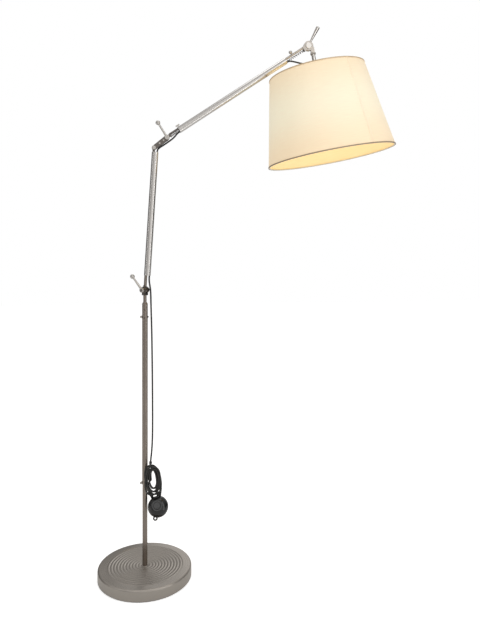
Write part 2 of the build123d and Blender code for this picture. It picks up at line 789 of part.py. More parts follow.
# ======================= head joint =======================
pivot_point = (head_pivot.X, head_pivot.Z)
knob_axis = Plane(
    origin=local_point(upper_arm, *head_rod_place, upper_tube_end + knob_place),
    x_dir=upper_arm.z_dir,
    z_dir=-upper_arm.x_dir,
)
with BuildPart() as head_joint_rod:
    with BuildSketch(Plane.XZ):
        with Locations(pivot_point):
            Circle(disc_radius)
    extrude(amount=disc_thickness)
    with BuildSketch(upper_arm.offset(pad_start)):
        with Locations((0.4, -disc_thickness / 2)):
            Rectangle(2 * holder_stem_radius + 4, disc_thickness)
    extrude(amount=spring_pad_place - 2)
    with BuildSketch(upper_arm.offset(pad_start)):
        with Locations(head_spring_place):
            Circle(head_spring_radius + 0.4)
    extrude(amount=spring_pad)
    with BuildSketch(upper_arm.offset(upper_tube_end - head_rod_depth)):
        with Locations(head_rod_place):
            Circle(head_rod_radius)
    extrude(amount=pad_start + 1 - upper_tube_end + head_rod_depth)
    with BuildSketch(Plane.XZ.offset(-1)):
        with Locations(pivot_point):
            Circle(bolt_radius + running_gap)
    extrude(amount=disc_thickness + 2, mode=Mode.SUBTRACT)
    with BuildSketch(knob_axis):
        Circle(thumb_screw_radius + running_gap)
    extrude(amount=2 * head_rod_radius, mode=Mode.SUBTRACT)
save(head_joint_rod.part, "head_joint_rod")

with BuildPart() as arm_knob_screw:
    with BuildSketch(knob_axis.offset(running_gap)):
        Circle(thumb_screw_radius)
    extrude(amount=head_rod_radius + knob_gap + 1)
    with Locations(local_point(knob_axis, 0, 0, head_rod_radius + knob_gap + knob_radius)):
        Sphere(knob_radius)
save(arm_knob_screw.part, "arm_knob_screw")

knuckle_plane = Plane.XZ.offset(-disc_thickness)
with BuildPart() as head_knuckle:
    with BuildSketch(knuckle_plane):
        with Locations(pivot_point):
            Circle(disc_radius)
    extrude(amount=disc_thickness - running_gap)
    with BuildSketch(shade_axis.offset(4)):
        Rectangle(2 * holder_stem_radius, disc_thickness - 2 * running_gap)
    extrude(amount=knuckle_depth - 4)
    with BuildSketch(Plane.XZ.offset(-disc_thickness - 1)):
        with Locations(pivot_point):
            Circle(bolt_radius + running_gap)
    extrude(amount=disc_thickness + 2, mode=Mode.SUBTRACT)
save(head_knuckle.part, "head_knuckle")

bolt_plane = Plane(origin=head_pivot, x_dir=(1, 0, 0), z_dir=front)
handle_plane = Plane(
    origin=head_pivot - front * (disc_thickness + running_gap + handle_hub_height / 2),
    z_dir=along(handle_turn),
)
# The handle with its hub, and the bolt through the joint with its domed cap on the front disc.
with BuildPart() as head_clamp_lever:
    with BuildSketch(bolt_plane.offset(-disc_thickness - running_gap - handle_hub_height)):
        Circle(handle_hub_radius)
    extrude(amount=handle_hub_height)
    fillet(head_clamp_lever.edges().filter_by(GeomType.CIRCLE), radius=lever_hub_round)
    with BuildSketch(handle_plane.offset(bolt_radius + 1)):
        Circle(handle_root_radius)
    with BuildSketch(handle_plane.offset(disc_radius + 4)):
        Circle(handle_root_radius)
    loft()
    with BuildSketch(handle_plane.offset(disc_radius + 4)):
        Circle(handle_root_radius)
    with BuildSketch(handle_plane.offset(handle_reach)):
        Circle(handle_end_radius)
    loft()
    handle_line = Axis(head_pivot, along(handle_turn))
    far_rim = head_clamp_lever.edges().filter_by(GeomType.CIRCLE).sort_by(handle_line)[-1]
    fillet(far_rim, radius=handle_end_round)
    with BuildSketch(bolt_plane.offset(-disc_thickness - running_gap)):
        Circle(bolt_radius + running_gap)
    extrude(amount=-handle_hub_height, mode=Mode.SUBTRACT)
    with BuildSketch(bolt_plane.offset(disc_thickness + running_gap)):
        Circle(face_cap_radius)
    extrude(amount=face_cap_height)
    front_rims = head_clamp_lever.edges().filter_by(GeomType.CIRCLE).group_by(Axis.Y)[0]
    chamfer(front_rims, length=0.8)
    with BuildSketch(bolt_plane.offset(-disc_thickness - handle_hub_height - running_gap)):
        Circle(bolt_radius)
    extrude(amount=2 * disc_thickness + handle_hub_height + 2 * running_gap)
save(head_clamp_lever.part, "head_clamp_lever")

# ======================= lampholder =======================
with BuildPart() as stem_nut:
    with BuildSketch(shade_axis.offset(knuckle_depth)):
        Circle(stem_nut_radius)
        with PolarLocations(stem_nut_radius + 0.5, 20):
            Circle(0.9, mode=Mode.SUBTRACT)
    extrude(amount=stem_nut_height)
save(stem_nut.part, "stem_nut")

stem_start = knuckle_depth + stem_nut_height
with BuildPart() as lampholder_stem:
    with BuildSketch(shade_axis.offset(stem_start)):
        Circle(holder_stem_radius)
        Circle(holder_stem_radius - 1.5, mode=Mode.SUBTRACT)
    extrude(amount=holder_top - stem_start)
save(lampholder_stem.part, "lampholder_stem")

holder_start = holder_top + holder_cap_height
with BuildPart() as lampholder_cap:
    with BuildSketch(shade_axis.offset(holder_top)):
        Circle(holder_cap_radius)
    with BuildSketch(shade_axis.offset(holder_start)):
        Circle(holder_radius)
    loft()
    with BuildSketch(shade_axis.offset(holder_top + 3)):
        Circle(holder_cap_radius - 3)
    extrude(amount=holder_cap_height, mode=Mode.SUBTRACT)
save(lampholder_cap.part, "lampholder_cap")

with BuildPart() as lampholder_body:
    with BuildSketch(shade_axis.offset(holder_start)):
        Circle(holder_radius)
    extrude(amount=holder_length)
    with BuildSketch(shade_axis.offset(holder_start + 2)):
        Circle(holder_flange_radius)
    extrude(amount=holder_flange)
    with BuildSketch(shade_axis.offset(holder_start + holder_floor)):
        Circle(holder_bore)
    extrude(amount=holder_length, mode=Mode.SUBTRACT)
    with BuildSketch(shade_axis.offset(holder_start)):
        Circle(contact_pin_radius + running_gap)
    extrude(amount=holder_floor, mode=Mode.SUBTRACT)
    with BuildSketch(shade_axis.offset(holder_start + holder_floor + running_gap)):
        Circle(contact_radius)
    extrude(amount=contact_height - running_gap)
    with BuildSketch(shade_axis.offset(holder_start + 1)):
        Circle(contact_pin_radius)
    extrude(amount=holder_floor)
save(lampholder_body.part, "lampholder_body")

carrier_start = holder_start + 2 + holder_flange
clamp_ring_start = carrier_start + carrier_thickness
with BuildPart() as shade_clamp_ring:
    with BuildSketch(shade_axis.offset(clamp_ring_start)):
        Circle(carrier_ring_radius)
        Circle(holder_radius, mode=Mode.SUBTRACT)
        with PolarLocations(carrier_ring_radius + 0.8, 24):
            Circle(1.4, mode=Mode.SUBTRACT)
    extrude(amount=clamp_ring_height)
save(shade_clamp_ring.part, "shade_clamp_ring")

# ======================= shade =======================
shade_slope = (shade_bottom_radius - shade_top_radius) / shade_height
wall_across = shade_wall * math.hypot(1, shade_slope)


def inner_radius(depth):
    """Radius of the shade's inner surface this far down its axis."""
    return shade_top_radius + shade_slope * (depth - shade_top) - wall_across


def wire_radius(depth):
    """Centre radius of a rim wire that lies against the shade's inside."""
    return inner_radius(depth) - rim_wire - seat_gap


# The rims' profiles stand in the plane through the shade's axis.
profile_plane = Plane(origin=shade_axis.origin, x_dir=shade_axis.x_dir, z_dir=(0, -1, 0))
shade_line = Axis(shade_axis.origin, shade_axis.z_dir)
shade_end = shade_top + shade_height
with BuildPart() as shade_fabric:
    with BuildSketch(profile_plane):
        with BuildLine():
            Polyline((inner_radius(shade_top), -shade_top), (shade_top_radius, -shade_top),
                     (shade_bottom_radius, -shade_end), (inner_radius(shade_end), -shade_end), close=True)
        make_face()
    revolve(axis=shade_line)
save(shade_fabric.part, "shade_fabric")


def rim(depth, name):
    """Round wire ring inside the shade's edge."""
    with BuildPart() as ring:
        with BuildSketch(profile_plane):
            with Locations((wire_radius(depth), -depth)):
                Circle(rim_wire)
        revolve(axis=shade_line)
    save(ring.part, name)


rim(shade_end - rim_wire, "shade_bottom_ring")

top_wire_depth = shade_top + rim_wire
arm_wire = 2.0
arm_start = Vector(carrier_ring_radius - 2, 0, carrier_start + carrier_thickness / 2)
arm_end = Vector(wire_radius(top_wire_depth), 0, top_wire_depth)
with BuildPart() as shade_carrier:
    with BuildSketch(profile_plane):
        with Locations((wire_radius(top_wire_depth), -top_wire_depth)):
            Circle(rim_wire)
    revolve(axis=shade_line)
    with BuildSketch(shade_axis.offset(carrier_start)):
        Circle(carrier_ring_radius)
        Circle(holder_radius + seat_gap, mode=Mode.SUBTRACT)
    extrude(amount=carrier_thickness)
    for spoke in range(3):
        angle = math.radians(60 + 120 * spoke)
        inner = local_point(shade_axis, arm_start.X * math.cos(angle), arm_start.X * math.sin(angle), arm_start.Z)
        outer = local_point(shade_axis, arm_end.X * math.cos(angle), arm_end.X * math.sin(angle), arm_end.Z)
        with BuildSketch(Plane(origin=inner, z_dir=outer - inner)):
            Circle(arm_wire)
        extrude(amount=(outer - inner).length)
    with BuildSketch(shade_axis.offset(carrier_start - 5)):
        Circle(holder_radius + seat_gap)
    extrude(amount=15, mode=Mode.SUBTRACT)
    with BuildSketch(shade_axis.offset(carrier_start - 5)):
        Circle(holder_flange_radius + 8)
    extrude(amount=5, mode=Mode.SUBTRACT)
    with BuildSketch(shade_axis.offset(clamp_ring_start)):
        Circle(carrier_ring_radius + 1)
    extrude(amount=clamp_ring_height, mode=Mode.SUBTRACT)
save(shade_carrier.part, "shade_carrier")

# ======================= bulb =======================
bulb_start = holder_start + holder_length
bulb_cap_start = holder_start + holder_floor + contact_height
with BuildPart() as bulb_cap:
    with BuildSketch(shade_axis.offset(bulb_cap_start)):
        Circle(bulb_cap_radius)
    extrude(amount=bulb_start - bulb_cap_start)
save(bulb_cap.part, "bulb_cap")

bulb_middle = bulb_start + bulb_length - bulb_radius
neck_end = bulb_start + bulb_neck_length
neck_to_middle = math.hypot(bulb_neck_radius, bulb_middle - neck_end)
touch = math.atan2(bulb_middle - neck_end, bulb_neck_radius) - math.acos(bulb_radius / neck_to_middle)
halfway = (touch - math.pi / 2) / 2
with BuildPart() as bulb_glass:
    with BuildSketch(profile_plane):
        with BuildLine():
            Polyline((0, -bulb_start - bulb_length), (0, -bulb_start), (bulb_neck_radius, -bulb_start),
                     (bulb_neck_radius, -neck_end),
                     (bulb_radius * math.cos(touch), bulb_radius * math.sin(touch) - bulb_middle))
            ThreePointArc((bulb_radius * math.cos(touch), bulb_radius * math.sin(touch) - bulb_middle),
                          (bulb_radius * math.cos(halfway), bulb_radius * math.sin(halfway) - bulb_middle),
                          (0, -bulb_start - bulb_length))
        make_face()
    revolve(axis=shade_line)
save(bulb_glass.part, "bulb_glass")


# ======================= leads =======================
def lead(points, name):
    """Round lead along straight runs joined by tangent arcs as large as the runs allow."""
    route = [Vector(*p) for p in points]
    radii = []
    for before, corner, after in zip(route, route[1:], route[2:]):
        turn = math.radians((corner - before).get_angle(after - corner))
        shorter = min((corner - before).length, (after - corner).length)
        radii.append(0.45 * shorter / math.tan(turn / 2))
    with BuildPart() as tube:
        with BuildLine() as path:
            FilletPolyline(*route, radius=radii)
        with BuildSketch(Plane(origin=path.line @ 0, z_dir=path.line % 0)):
            Circle(lead_radius)
        sweep(path=path.line)
    length = sum(edge.length for edge in path.line.edges())
    print(f"{name}: length {length:.1f}, radii {[round(r) for r in radii]},",
          f"volume ratio {tube.part.volume / (math.pi * lead_radius ** 2 * length):.4f}")
    save(tube.part, name)


def beyond(start, direction, distance):
    """Point on a lead's straight way out of an end."""
    return Vector(*start) + Vector(*direction).normalized() * distance


arm_exit = local_point(lower_arm, lead_x, 0, lower_tube_start)
lead_split = Vector(17.8, -2.5, 838)
below_split = Vector(18.4, -2.6, 808)
above_split = beyond(lead_split, lead_split - below_split, 24)
lead((arm_exit, beyond(arm_exit, -lower_arm.z_dir, 14), (14.8, -1.4, 878), above_split, lead_split),
     "lead_at_lower_joint")
hank_top = (17.0, -16.0, 337.0)
above_hank = (17.6, -15.6, 354)
lead((lead_split, below_split, (20.4, -3.0, 748), (22.0, -4.0, 640), (23.2, -6.0, 500), (23.0, -9.0, 420),
      (20.6, -13.0, 379), above_hank, hank_top), "lead_beside_pole")

tube_exit = local_point(lower_arm, lead_x, 0, lower_tube_end)
under_link = Vector(58.1, -0.8, 1305.2)
elbow_split = Vector(70.2, -1.0, 1314.0)
lead((tube_exit, beyond(tube_exit, lower_arm.z_dir, 5), (39.3, -0.2, 1292.0), (46.2, -0.5, 1297.8), under_link,
      elbow_split), "lead_at_elbow_low")
tube_entry = local_point(upper_arm, *upper_lead_place, upper_tube_start)
lead((elbow_split, beyond(elbow_split, elbow_split - under_link, 14), (91.6, -2.2, 1332.2),
      beyond(tube_entry, -upper_arm.z_dir, 10), tube_entry), "lead_at_elbow_high")

head_exit = local_point(upper_arm, *upper_lead_place, upper_tube_end)
holder_entry = local_point(shade_axis, holder_lead_place, 0, holder_top)
lead((head_exit, beyond(head_exit, upper_arm.z_dir, 6), (449.6, -2.4, 1573.2), (463.5, -1.8, 1571.0),
      (483.2, 0.0, 1567.5), (501.1, 2.0, 1566.0), (511.0, 3.2, 1562.5), beyond(holder_entry, -shade_down, 9),
      holder_entry), "lead_at_head")

# ======================= foot switch =======================
cover_top = switch_height - switch_wall
with BuildPart() as switch_cover:
    with BuildSketch(Plane(origin=switch_centre, x_dir=switch_plane.x_dir, z_dir=-switch_plane.y_dir)):
        with BuildLine():
            Polyline((button_radius + seat_gap, cover_top), (button_radius + seat_gap, switch_height),
                     (switch_top_radius, switch_height))
            ThreePointArc((switch_top_radius, switch_height), (24.6, 18.0), (switch_radius, switch_rim))
            Polyline((switch_radius, switch_rim), (switch_radius, 0), (switch_radius - switch_wall, 0),
                     (switch_radius - switch_wall, switch_rim))
            ThreePointArc((switch_radius - switch_wall, switch_rim), (23.1, 16.6), (switch_top_radius, cover_top))
            Line((switch_top_radius, cover_top), (button_radius + seat_gap, cover_top))
        make_face()
    revolve(axis=Axis(switch_centre, switch_plane.z_dir))
    turn = math.radians(eye_angle)
    reach = switch_radius + eye_inner_radius - 0.4
    with BuildSketch(switch_plane):
        with Locations((reach * math.cos(turn), reach * math.sin(turn))):
            Circle(eye_outer_radius)
            Circle(eye_inner_radius, mode=Mode.SUBTRACT)
        Circle(switch_radius - switch_wall, mode=Mode.SUBTRACT)
    extrude(amount=eye_thickness)
save(switch_cover.part, "switch_cover")

# The plate with its three screws and the contact block that stands on it.
with BuildPart() as switch_base:
    with BuildSketch(switch_plane):
        Circle(switch_radius - switch_wall)
        with PolarLocations(plate_screw_circle, 3, start_angle=30):
            Circle(plate_screw_radius + running_gap, mode=Mode.SUBTRACT)
    extrude(amount=base_plate)
    with BuildSketch(switch_plane):
        with PolarLocations(plate_screw_circle, 3, start_angle=30):
            Circle(plate_screw_radius)
    extrude(amount=plate_screw_length)
    with BuildSketch(switch_plane.offset(base_plate + running_gap)):
        Rectangle(block_length, block_width)
    extrude(amount=block_height - running_gap)
save(switch_base.part, "switch_base")

with BuildPart() as switch_button:
    with BuildSketch(switch_plane.offset(cover_top - button_flange - running_gap)):
        Circle(button_flange_radius)
    extrude(amount=button_flange)
    with BuildSketch(switch_plane.offset(cover_top - running_gap - button_flange)):
        Circle(button_radius)
    extrude(amount=button_height)
    fillet(switch_button.edges().filter_by(GeomType.CIRCLE).sort_by(Axis(switch_centre, switch_plane.z_dir))[-1],
           radius=2.0)
save(switch_button.part, "switch_button")

button_bottom = cover_top - button_flange - running_gap
block_top = base_plate + block_height
switch_spring = coil_spring(switch_plane, (0, 0), block_top, button_bottom - block_top, 5, 4.0, 0.9)
save(switch_spring, "switch_spring")

gland_root = local_point(switch_plane, 0, 0, switch_rim)


def gland_way(angle):
    """Direction in which a lead leaves the switch at this angle in the switch's plane."""
    turn = math.radians(angle)
    return switch_plane.x_dir * math.cos(turn) + switch_plane.y_dir * math.sin(turn)


with BuildPart() as switch_glands:
    for angle in gland_angles:
        run = Plane(origin=gland_root, z_dir=gland_way(angle))
        with BuildSketch(run.offset(switch_radius - 1)):
            Circle(gland_radius)
        with BuildSketch(run.offset(switch_radius + gland_length)):
            Circle(gland_tip_radius)
        loft()
    with BuildSketch(switch_plane.offset(-2)):
        Circle(switch_radius)
    extrude(amount=switch_height, mode=Mode.SUBTRACT)
save(switch_glands.part, "switch_glands")

lamp_way = gland_way(gland_angles[0])
mains_way = gland_way(gland_angles[1])
lamp_gland = gland_root + lamp_way * (switch_radius + gland_length)
mains_gland = gland_root + mains_way * (switch_radius + gland_length)

# ======================= hank, tie and plug =======================
with BuildPart() as lead_hank:
    with BuildSketch(Plane.XZ.offset(-hank_back)):
        with Locations(hank_centre):
            SlotOverall(hank_height, hank_width, rotation=90)
        with Locations(hank_hole_centre):
            SlotOverall(hank_hole_height, hank_hole_width, rotation=90, mode=Mode.SUBTRACT)
    extrude(amount=hank_back - hank_front)
    fillet(lead_hank.edges().filter_by(Plane.XZ), radius=4)
save(lead_hank.part, "lead_hank")

tie_line = Vector(*above_hank) - Vector(*hank_top)
tie_plane = Plane(origin=Vector(*hank_top) + tie_line * (tie_start / tie_line.length), z_dir=tie_line)
with BuildPart() as hank_tie:
    with BuildSketch(tie_plane):
        Circle(tie_radius)
        Circle(lead_radius + tie_gap, mode=Mode.SUBTRACT)
    extrude(amount=tie_height)
save(hank_tie.part, "hank_tie")

lead((lamp_gland, beyond(lamp_gland, lamp_way, 8), (49.0, 8.0, 275), (47.5, 5.5, 288), (44.5, -2.5, 298),
      (41.0, -12.5, 303)), "lead_into_switch")
lead((mains_gland, beyond(mains_gland, mains_way, 10), (8.2, 9.0, 264.5), (10.0, 9.5, 275.5), (14.5, 4.5, 284.5),
      (17.5, -4.0, 289.5), (17.8, -12.8, 290.5)), "lead_out_of_switch")
lead((plug_top, (38, 22, 235), (37.4, 19.5, 247), (36.0, 13.5, 258), (34.0, 4.0, 265), (32.0, -6.0, 268),
      (31.0, -14.5, 269)), "lead_to_plug")

with BuildPart() as plug_body:
    with BuildSketch(Plane.XY.offset(plug_top.Z - plug_length)):
        with Locations((plug_top.X, plug_top.Y)):
            RectangleRounded(plug_width, plug_thickness, 5)
    with BuildSketch(Plane.XY.offset(plug_top.Z - plug_length + 16)):
        with Locations((plug_top.X, plug_top.Y)):
            RectangleRounded(plug_width - 3, plug_thickness, 5)
    with BuildSketch(Plane.XY.offset(plug_top.Z)):
        with Locations((plug_top.X, plug_top.Y)):
            RectangleRounded(10, 8, 3.5)
    loft()
save(plug_body.part, "plug_body")

with BuildPart() as plug_pins:
    with BuildSketch(Plane.XY.offset(plug_top.Z - plug_length)):
        with Locations((plug_top.X, plug_top.Y)):
            with GridLocations(pin_spacing, 1, 2, 1):
                Circle(pin_radius)
    extrude(amount=-pin_length)
    fillet(plug_pins.edges().group_by(Axis.Z)[0], radius=1.2)
save(plug_pins.part, "plug_pins")
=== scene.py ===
import json
import math

import bpy
from bpy.props import FloatProperty, FloatVectorProperty, IntProperty, PointerProperty
from mathutils import Matrix, Vector


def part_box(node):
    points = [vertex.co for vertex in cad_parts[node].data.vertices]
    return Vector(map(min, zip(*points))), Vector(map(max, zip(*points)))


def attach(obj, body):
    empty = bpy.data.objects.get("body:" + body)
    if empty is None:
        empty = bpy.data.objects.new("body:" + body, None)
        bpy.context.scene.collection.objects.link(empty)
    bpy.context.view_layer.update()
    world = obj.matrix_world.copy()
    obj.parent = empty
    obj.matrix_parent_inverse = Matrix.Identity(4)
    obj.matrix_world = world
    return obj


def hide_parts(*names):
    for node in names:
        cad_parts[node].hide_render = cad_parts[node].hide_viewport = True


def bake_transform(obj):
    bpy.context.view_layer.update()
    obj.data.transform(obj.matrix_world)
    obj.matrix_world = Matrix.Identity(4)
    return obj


bl_info = {
    "name": "Adjustable arm floor lamp",
    "version": (1, 0, 0),
    "blender": (4, 5, 0),
    "location": "3D View > Sidebar > Floor lamp",
    "description": "Finishes, cloth shade and leads of an adjustable arm floor lamp",
    "category": "Object",
}

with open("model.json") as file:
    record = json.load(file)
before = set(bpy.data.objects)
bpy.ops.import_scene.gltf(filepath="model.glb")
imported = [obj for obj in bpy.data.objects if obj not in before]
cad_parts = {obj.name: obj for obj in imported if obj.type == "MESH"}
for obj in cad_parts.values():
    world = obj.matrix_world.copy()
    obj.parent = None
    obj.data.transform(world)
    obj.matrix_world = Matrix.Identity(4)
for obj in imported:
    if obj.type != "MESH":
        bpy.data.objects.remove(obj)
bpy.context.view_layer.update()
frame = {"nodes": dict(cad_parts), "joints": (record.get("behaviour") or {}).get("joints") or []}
JOINTS = {joint["name"]: joint for joint in frame["joints"]}
HEAD_PIVOT = Vector(JOINTS["head_tilt"]["pos_m"])

# The upper arm's rise above level and the lower arm's lean from upright.
UPPER_RISE = math.radians(34.05)
LOWER_LEAN = math.radians(3.6)

# The room: its floor, the levels of its walls by place round the room, and its ceiling.
FLOOR_REACH = 9
FLOOR_LIFT = 0.47
FLOOR_GLOW = 0.15
WALL_LEVELS = ((0.0, 0.20), (0.10, 0.07), (0.20, 0.10), (0.30, 0.55), (0.40, 0.38), (0.50, 0.95),
               (0.60, 1.05), (0.68, 0.30), (0.76, 0.08), (0.84, 0.16), (0.90, 0.75), (1.0, 0.20))
CEILING = (0.66, 0.65, 0.64, 1)

# Lights: name, place, target, width, height, energy.
LIGHTS = (("key", (-1.1, -2.3, 2.5), (0.1, 0.0, 0.6), 1.0, 1.0, 4.6),
          ("fill", (1.3, -2.2, 2.3), (0.1, 0.0, 0.6), 1.0, 1.0, 2.6),
          ("top", (0.3, 0.2, 3.6), (0.25, 0.0, 0.9), 1.6, 1.6, 12.0),
          ("rim", (0.6, 2.6, 1.8), (0.25, 0.0, 0.9), 1.2, 1.2, 4.0),
          ("right_strip", (0.80, -0.62, 0.95), (0.0, 0.0, 0.95), 0.14, 1.9, 2.2),
          ("left_strip", (-0.95, -0.35, 0.95), (0.0, 0.0, 0.95), 0.06, 1.9, 0.8))

# Camera: sensor width and lens in millimetres, shift as a share of the width, place and line of sight.
SENSOR_WIDTH = 36
LENS = 33.47
VIEW_SHIFT = -0.109
CAMERA_PLACE = (0.0724, -1.8214, 0.985)
CAMERA_WAY = (0.1184, 0.9930, 0)

# Drawn spacings in millimetres of the rings, streaks and slubs in the finishes.
RING_SPACING = 0.8
STREAK_WIDTH = 0.6
STREAK_LENGTH = 60
SLUB_LENGTH = 40
SLUB_WIDTH = 1.5
# Share of the glow's three colours that is left far from the bulb.
FAR_GLOW = (0.98, 0.74, 0.55)

# The hank's outermost turn, and what it loses or shifts by towards the innermost one.
HANK_LAYERS = 3
HANK_HALF_WIDTH, HANK_NARROWS = 0.0240, 0.0165
HANK_HALF_HEIGHT, HANK_SHORTENS = 0.0465, 0.0240
HANK_MIDDLE, HANK_DRIFT = (0.0248, 0.2945), (0.0020, 0.0070)
HANK_ROUNDNESS = 0.85
# The lamp's side of the hank: first angle, depth, and lean of the first turn and change a turn, in degrees.
LAMP_FIRST, LAMP_DEPTH, LAMP_LEAN, LAMP_LEAN_STEP = 50, -0.0233, 7, 3
# The mains side, which runs from the inside out and comes backwards near its end.
MAINS_FIRST, MAINS_DEPTH, MAINS_LEAN, MAINS_LEAN_STEP = 82, -0.0181, -6, 2
MAINS_INNERMOST, MAINS_OUTERMOST = 2.9, 0.15
MAINS_BACK_FROM, MAINS_BACK_OVER, MAINS_BACK_BY = 2.3, 0.6, 0.0052

# Strain reliefs: radius at the root, what the taper takes off, and their ribs.
SLEEVE_RADIUS, SLEEVE_TAPER = 0.0044, 0.0014
SLEEVE_RIB, SLEEVE_RIB_SPACING = 0.0003, 0.0024
SLEEVE_STEPS, SLEEVE_SIDES = 36, 20

# The shade's sheets: columns round the whole cone, rows, and how far the cloth lies inside the nominal cone.
SHEET_COLUMNS, SHEET_ROWS = 144, 36
CLOTH_INSET = 0.0006
CLOTH_EDGE = 0.0003
SEAM_WIDTH, SEAM_LIFT, SEAM_THICKNESS, SEAM_GLOW = 0.009, 0.0004, 0.0005, 0.93
# Ripples of the stiffened cloth: height, waves round the shade, phase for each metre down.
RIPPLES = ((0.00025, 5, 9), (0.00018, 11, -20))
# The bulb's light on the cloth: its depth and reach, and the shadow of the carrier's legs.
BULB_DEPTH, BULB_REACH = 0.205, 0.10
LEG_SHADOW, LEG_TURN, LEG_SPREAD, LEG_DIM = 0.10, 0.62, 0.16, 0.12


def linear(code, alpha=1.0):
    """Linear colour of an sRGB hex value."""
    channels = [int(code[i:i + 2], 16) / 255 for i in (1, 3, 5)]
    return (*[c / 12.92 if c <= 0.04045 else ((c + 0.055) / 1.055) ** 2.4 for c in channels], alpha)


# ---------------------------------------------------------------- settings
def length_setting(name, description, default):
    """A length in metres that a user would change."""
    return FloatProperty(name=name, description=description, default=default, unit="LENGTH")


def angle_setting(name, description, degrees):
    """An angle that a user would change."""
    return FloatProperty(name=name, description=description, default=math.radians(degrees), subtype="ANGLE")


def colour_setting(name, description, code):
    """A colour that a user would change, from an sRGB hex value."""
    return FloatVectorProperty(name=name, description=description, subtype="COLOR", size=4,
                               default=linear(code))


class FloorLampSettings(bpy.types.PropertyGroup):
    """Sizes and colours that a user would change."""

    lead_diameter: length_setting("Lead diameter", "Outer diameter of the lead", 0.005)
    turn_points: IntProperty(name="Points a turn", description="Route points in each turn of the hank",
                             default=14)
    lamp_turns: FloatProperty(name="Lamp turns", description="Turns of the lamp's side of the lead",
                              default=2.6)
    mains_turns: FloatProperty(name="Mains turns", description="Turns of the mains side of the lead",
                               default=3.5)
    shade_tilt: angle_setting("Shade tilt", "Lean of the shade's lower end away from the arm", 10.2)
    shade_offset: length_setting("Shade offset", "The shade's axis beside the head joint", 0.012)
    shade_top: length_setting("Shade top", "Down the axis from the joint to the shade's top edge", 0.084)
    shade_height: length_setting("Shade height", "Along the shade's axis", 0.269)
    top_radius: length_setting("Top radius", "Outer radius of the shade's top edge", 0.150)
    bottom_radius: length_setting("Bottom radius", "Outer radius of the shade's bottom edge", 0.200)
    cloth_thickness: length_setting("Cloth thickness", "Linen on its stiff lining", 0.0009)
    hem_width: length_setting("Hem width", "Height of the tape along each edge", 0.0036)
    seam_angle: angle_setting("Seam angle", "Place of the glued seam round the shade", 68)
    thread_spacing: length_setting("Thread spacing", "Spacing of the drawn weave", 0.0016)
    glow: FloatProperty(name="Glow", description="Strength of the light that comes through the cloth",
                        default=0.46)
    bulb_glow: FloatProperty(name="Bulb glow", description="Strength of the lit bulb", default=2.0)
    nickel: colour_setting("Nickel", "Colour of the nickel plate", "#A19B94")
    # The pole's nickel is a darker copy of the same plate: painted shade.
    nickel_painted_shade: colour_setting("Pole nickel", "Colour of the pole's satin plate", "#867D75")
    # The arms' nickel is a lighter copy of the same plate: painted light.
    nickel_painted_light: colour_setting("Arm nickel", "Colour of the arm tubes' satin plate", "#C9C6C3")
    dark_nickel: colour_setting("Dark nickel", "Colour of the elbow's and clevis' plate", "#6F6A66")
    bright_nickel: colour_setting("Bright nickel", "Colour of the polished plate", "#BDB9B4")
    pvc: colour_setting("Lead PVC", "Colour of the lead", "#1A1A19")
    gloss_black: colour_setting("Switch black", "Colour of the foot switch", "#070708")
    cloth: colour_setting("Shade cloth", "Colour of the linen", "#CDBEA9")
    cloth_light: colour_setting("Light through the cloth", "Colour of the glow", "#FFFBDC")
    lining_light: colour_setting("Light on the lining", "Colour of the lit inside", "#FFE9A4")
    lining: colour_setting("Lining", "Colour of the shade's inside", "#E0D3B5")
    tape: colour_setting("Edge tape", "Colour of the hems", "#9C8B76")
    top_tape: colour_setting("Top edge tape", "Colour of the top hem", "#CDB696")
    bulb_light: colour_setting("Bulb light", "Colour of the lit bulb", "#FFE1A6")


# ---------------------------------------------------------------- materials
def add_node(tree, kind, settings=None, links=None):
    """Adds one node, sets its sockets or properties and links its inputs."""
    node = tree.nodes.new(kind)
    for key, value in (settings or {}).items():
        if isinstance(key, int) or key in node.inputs:
            node.inputs[key].default_value = value
        else:
            setattr(node, key, value)
    for key, source in (links or {}).items():
        tree.links.new(source, node.inputs[key])
    return node


def finish_named(name, colour, metallic, roughness, **sockets):
    """A material with its shader's constants set; returns it with its tree and shader."""
    material = bpy.data.materials.new(name)
    material.use_nodes = True
    tree = material.node_tree
    shader = tree.nodes["Principled BSDF"]
    shader.inputs["Base Color"].default_value = colour
    shader.inputs["Metallic"].default_value = metallic
    shader.inputs["Roughness"].default_value = roughness
    for socket, value in sockets.items():
        shader.inputs[socket.replace("_", " ")].default_value = value
    return material, tree, shader


def frequency(spacing_mm):
    """Noise scale whose features are this many millimetres apart."""
    return 1000 / spacing_mm


def wave_scale(spacing):
    """Scale of a band texture whose bands are this many metres apart."""
    return 2 * math.pi / (20 * spacing)


def follow_roughness(tree, shader, noise, low, high):
    """Lets the roughness follow a noise between two values."""
    sheen = add_node(tree, "ShaderNodeMapRange", {"To Min": low, "To Max": high},
                     {"Value": noise.outputs["Fac"]})
    tree.links.new(sheen.outputs["Result"], shader.inputs["Roughness"])


def follow_height(tree, shader, height, strength, distance):
    """Lets the surface rise and fall with a height."""
    bump = add_node(tree, "ShaderNodeBump", {"Strength": strength, "Distance": distance}, {"Height": height})
    tree.links.new(bump.outputs["Normal"], shader.inputs["Normal"])


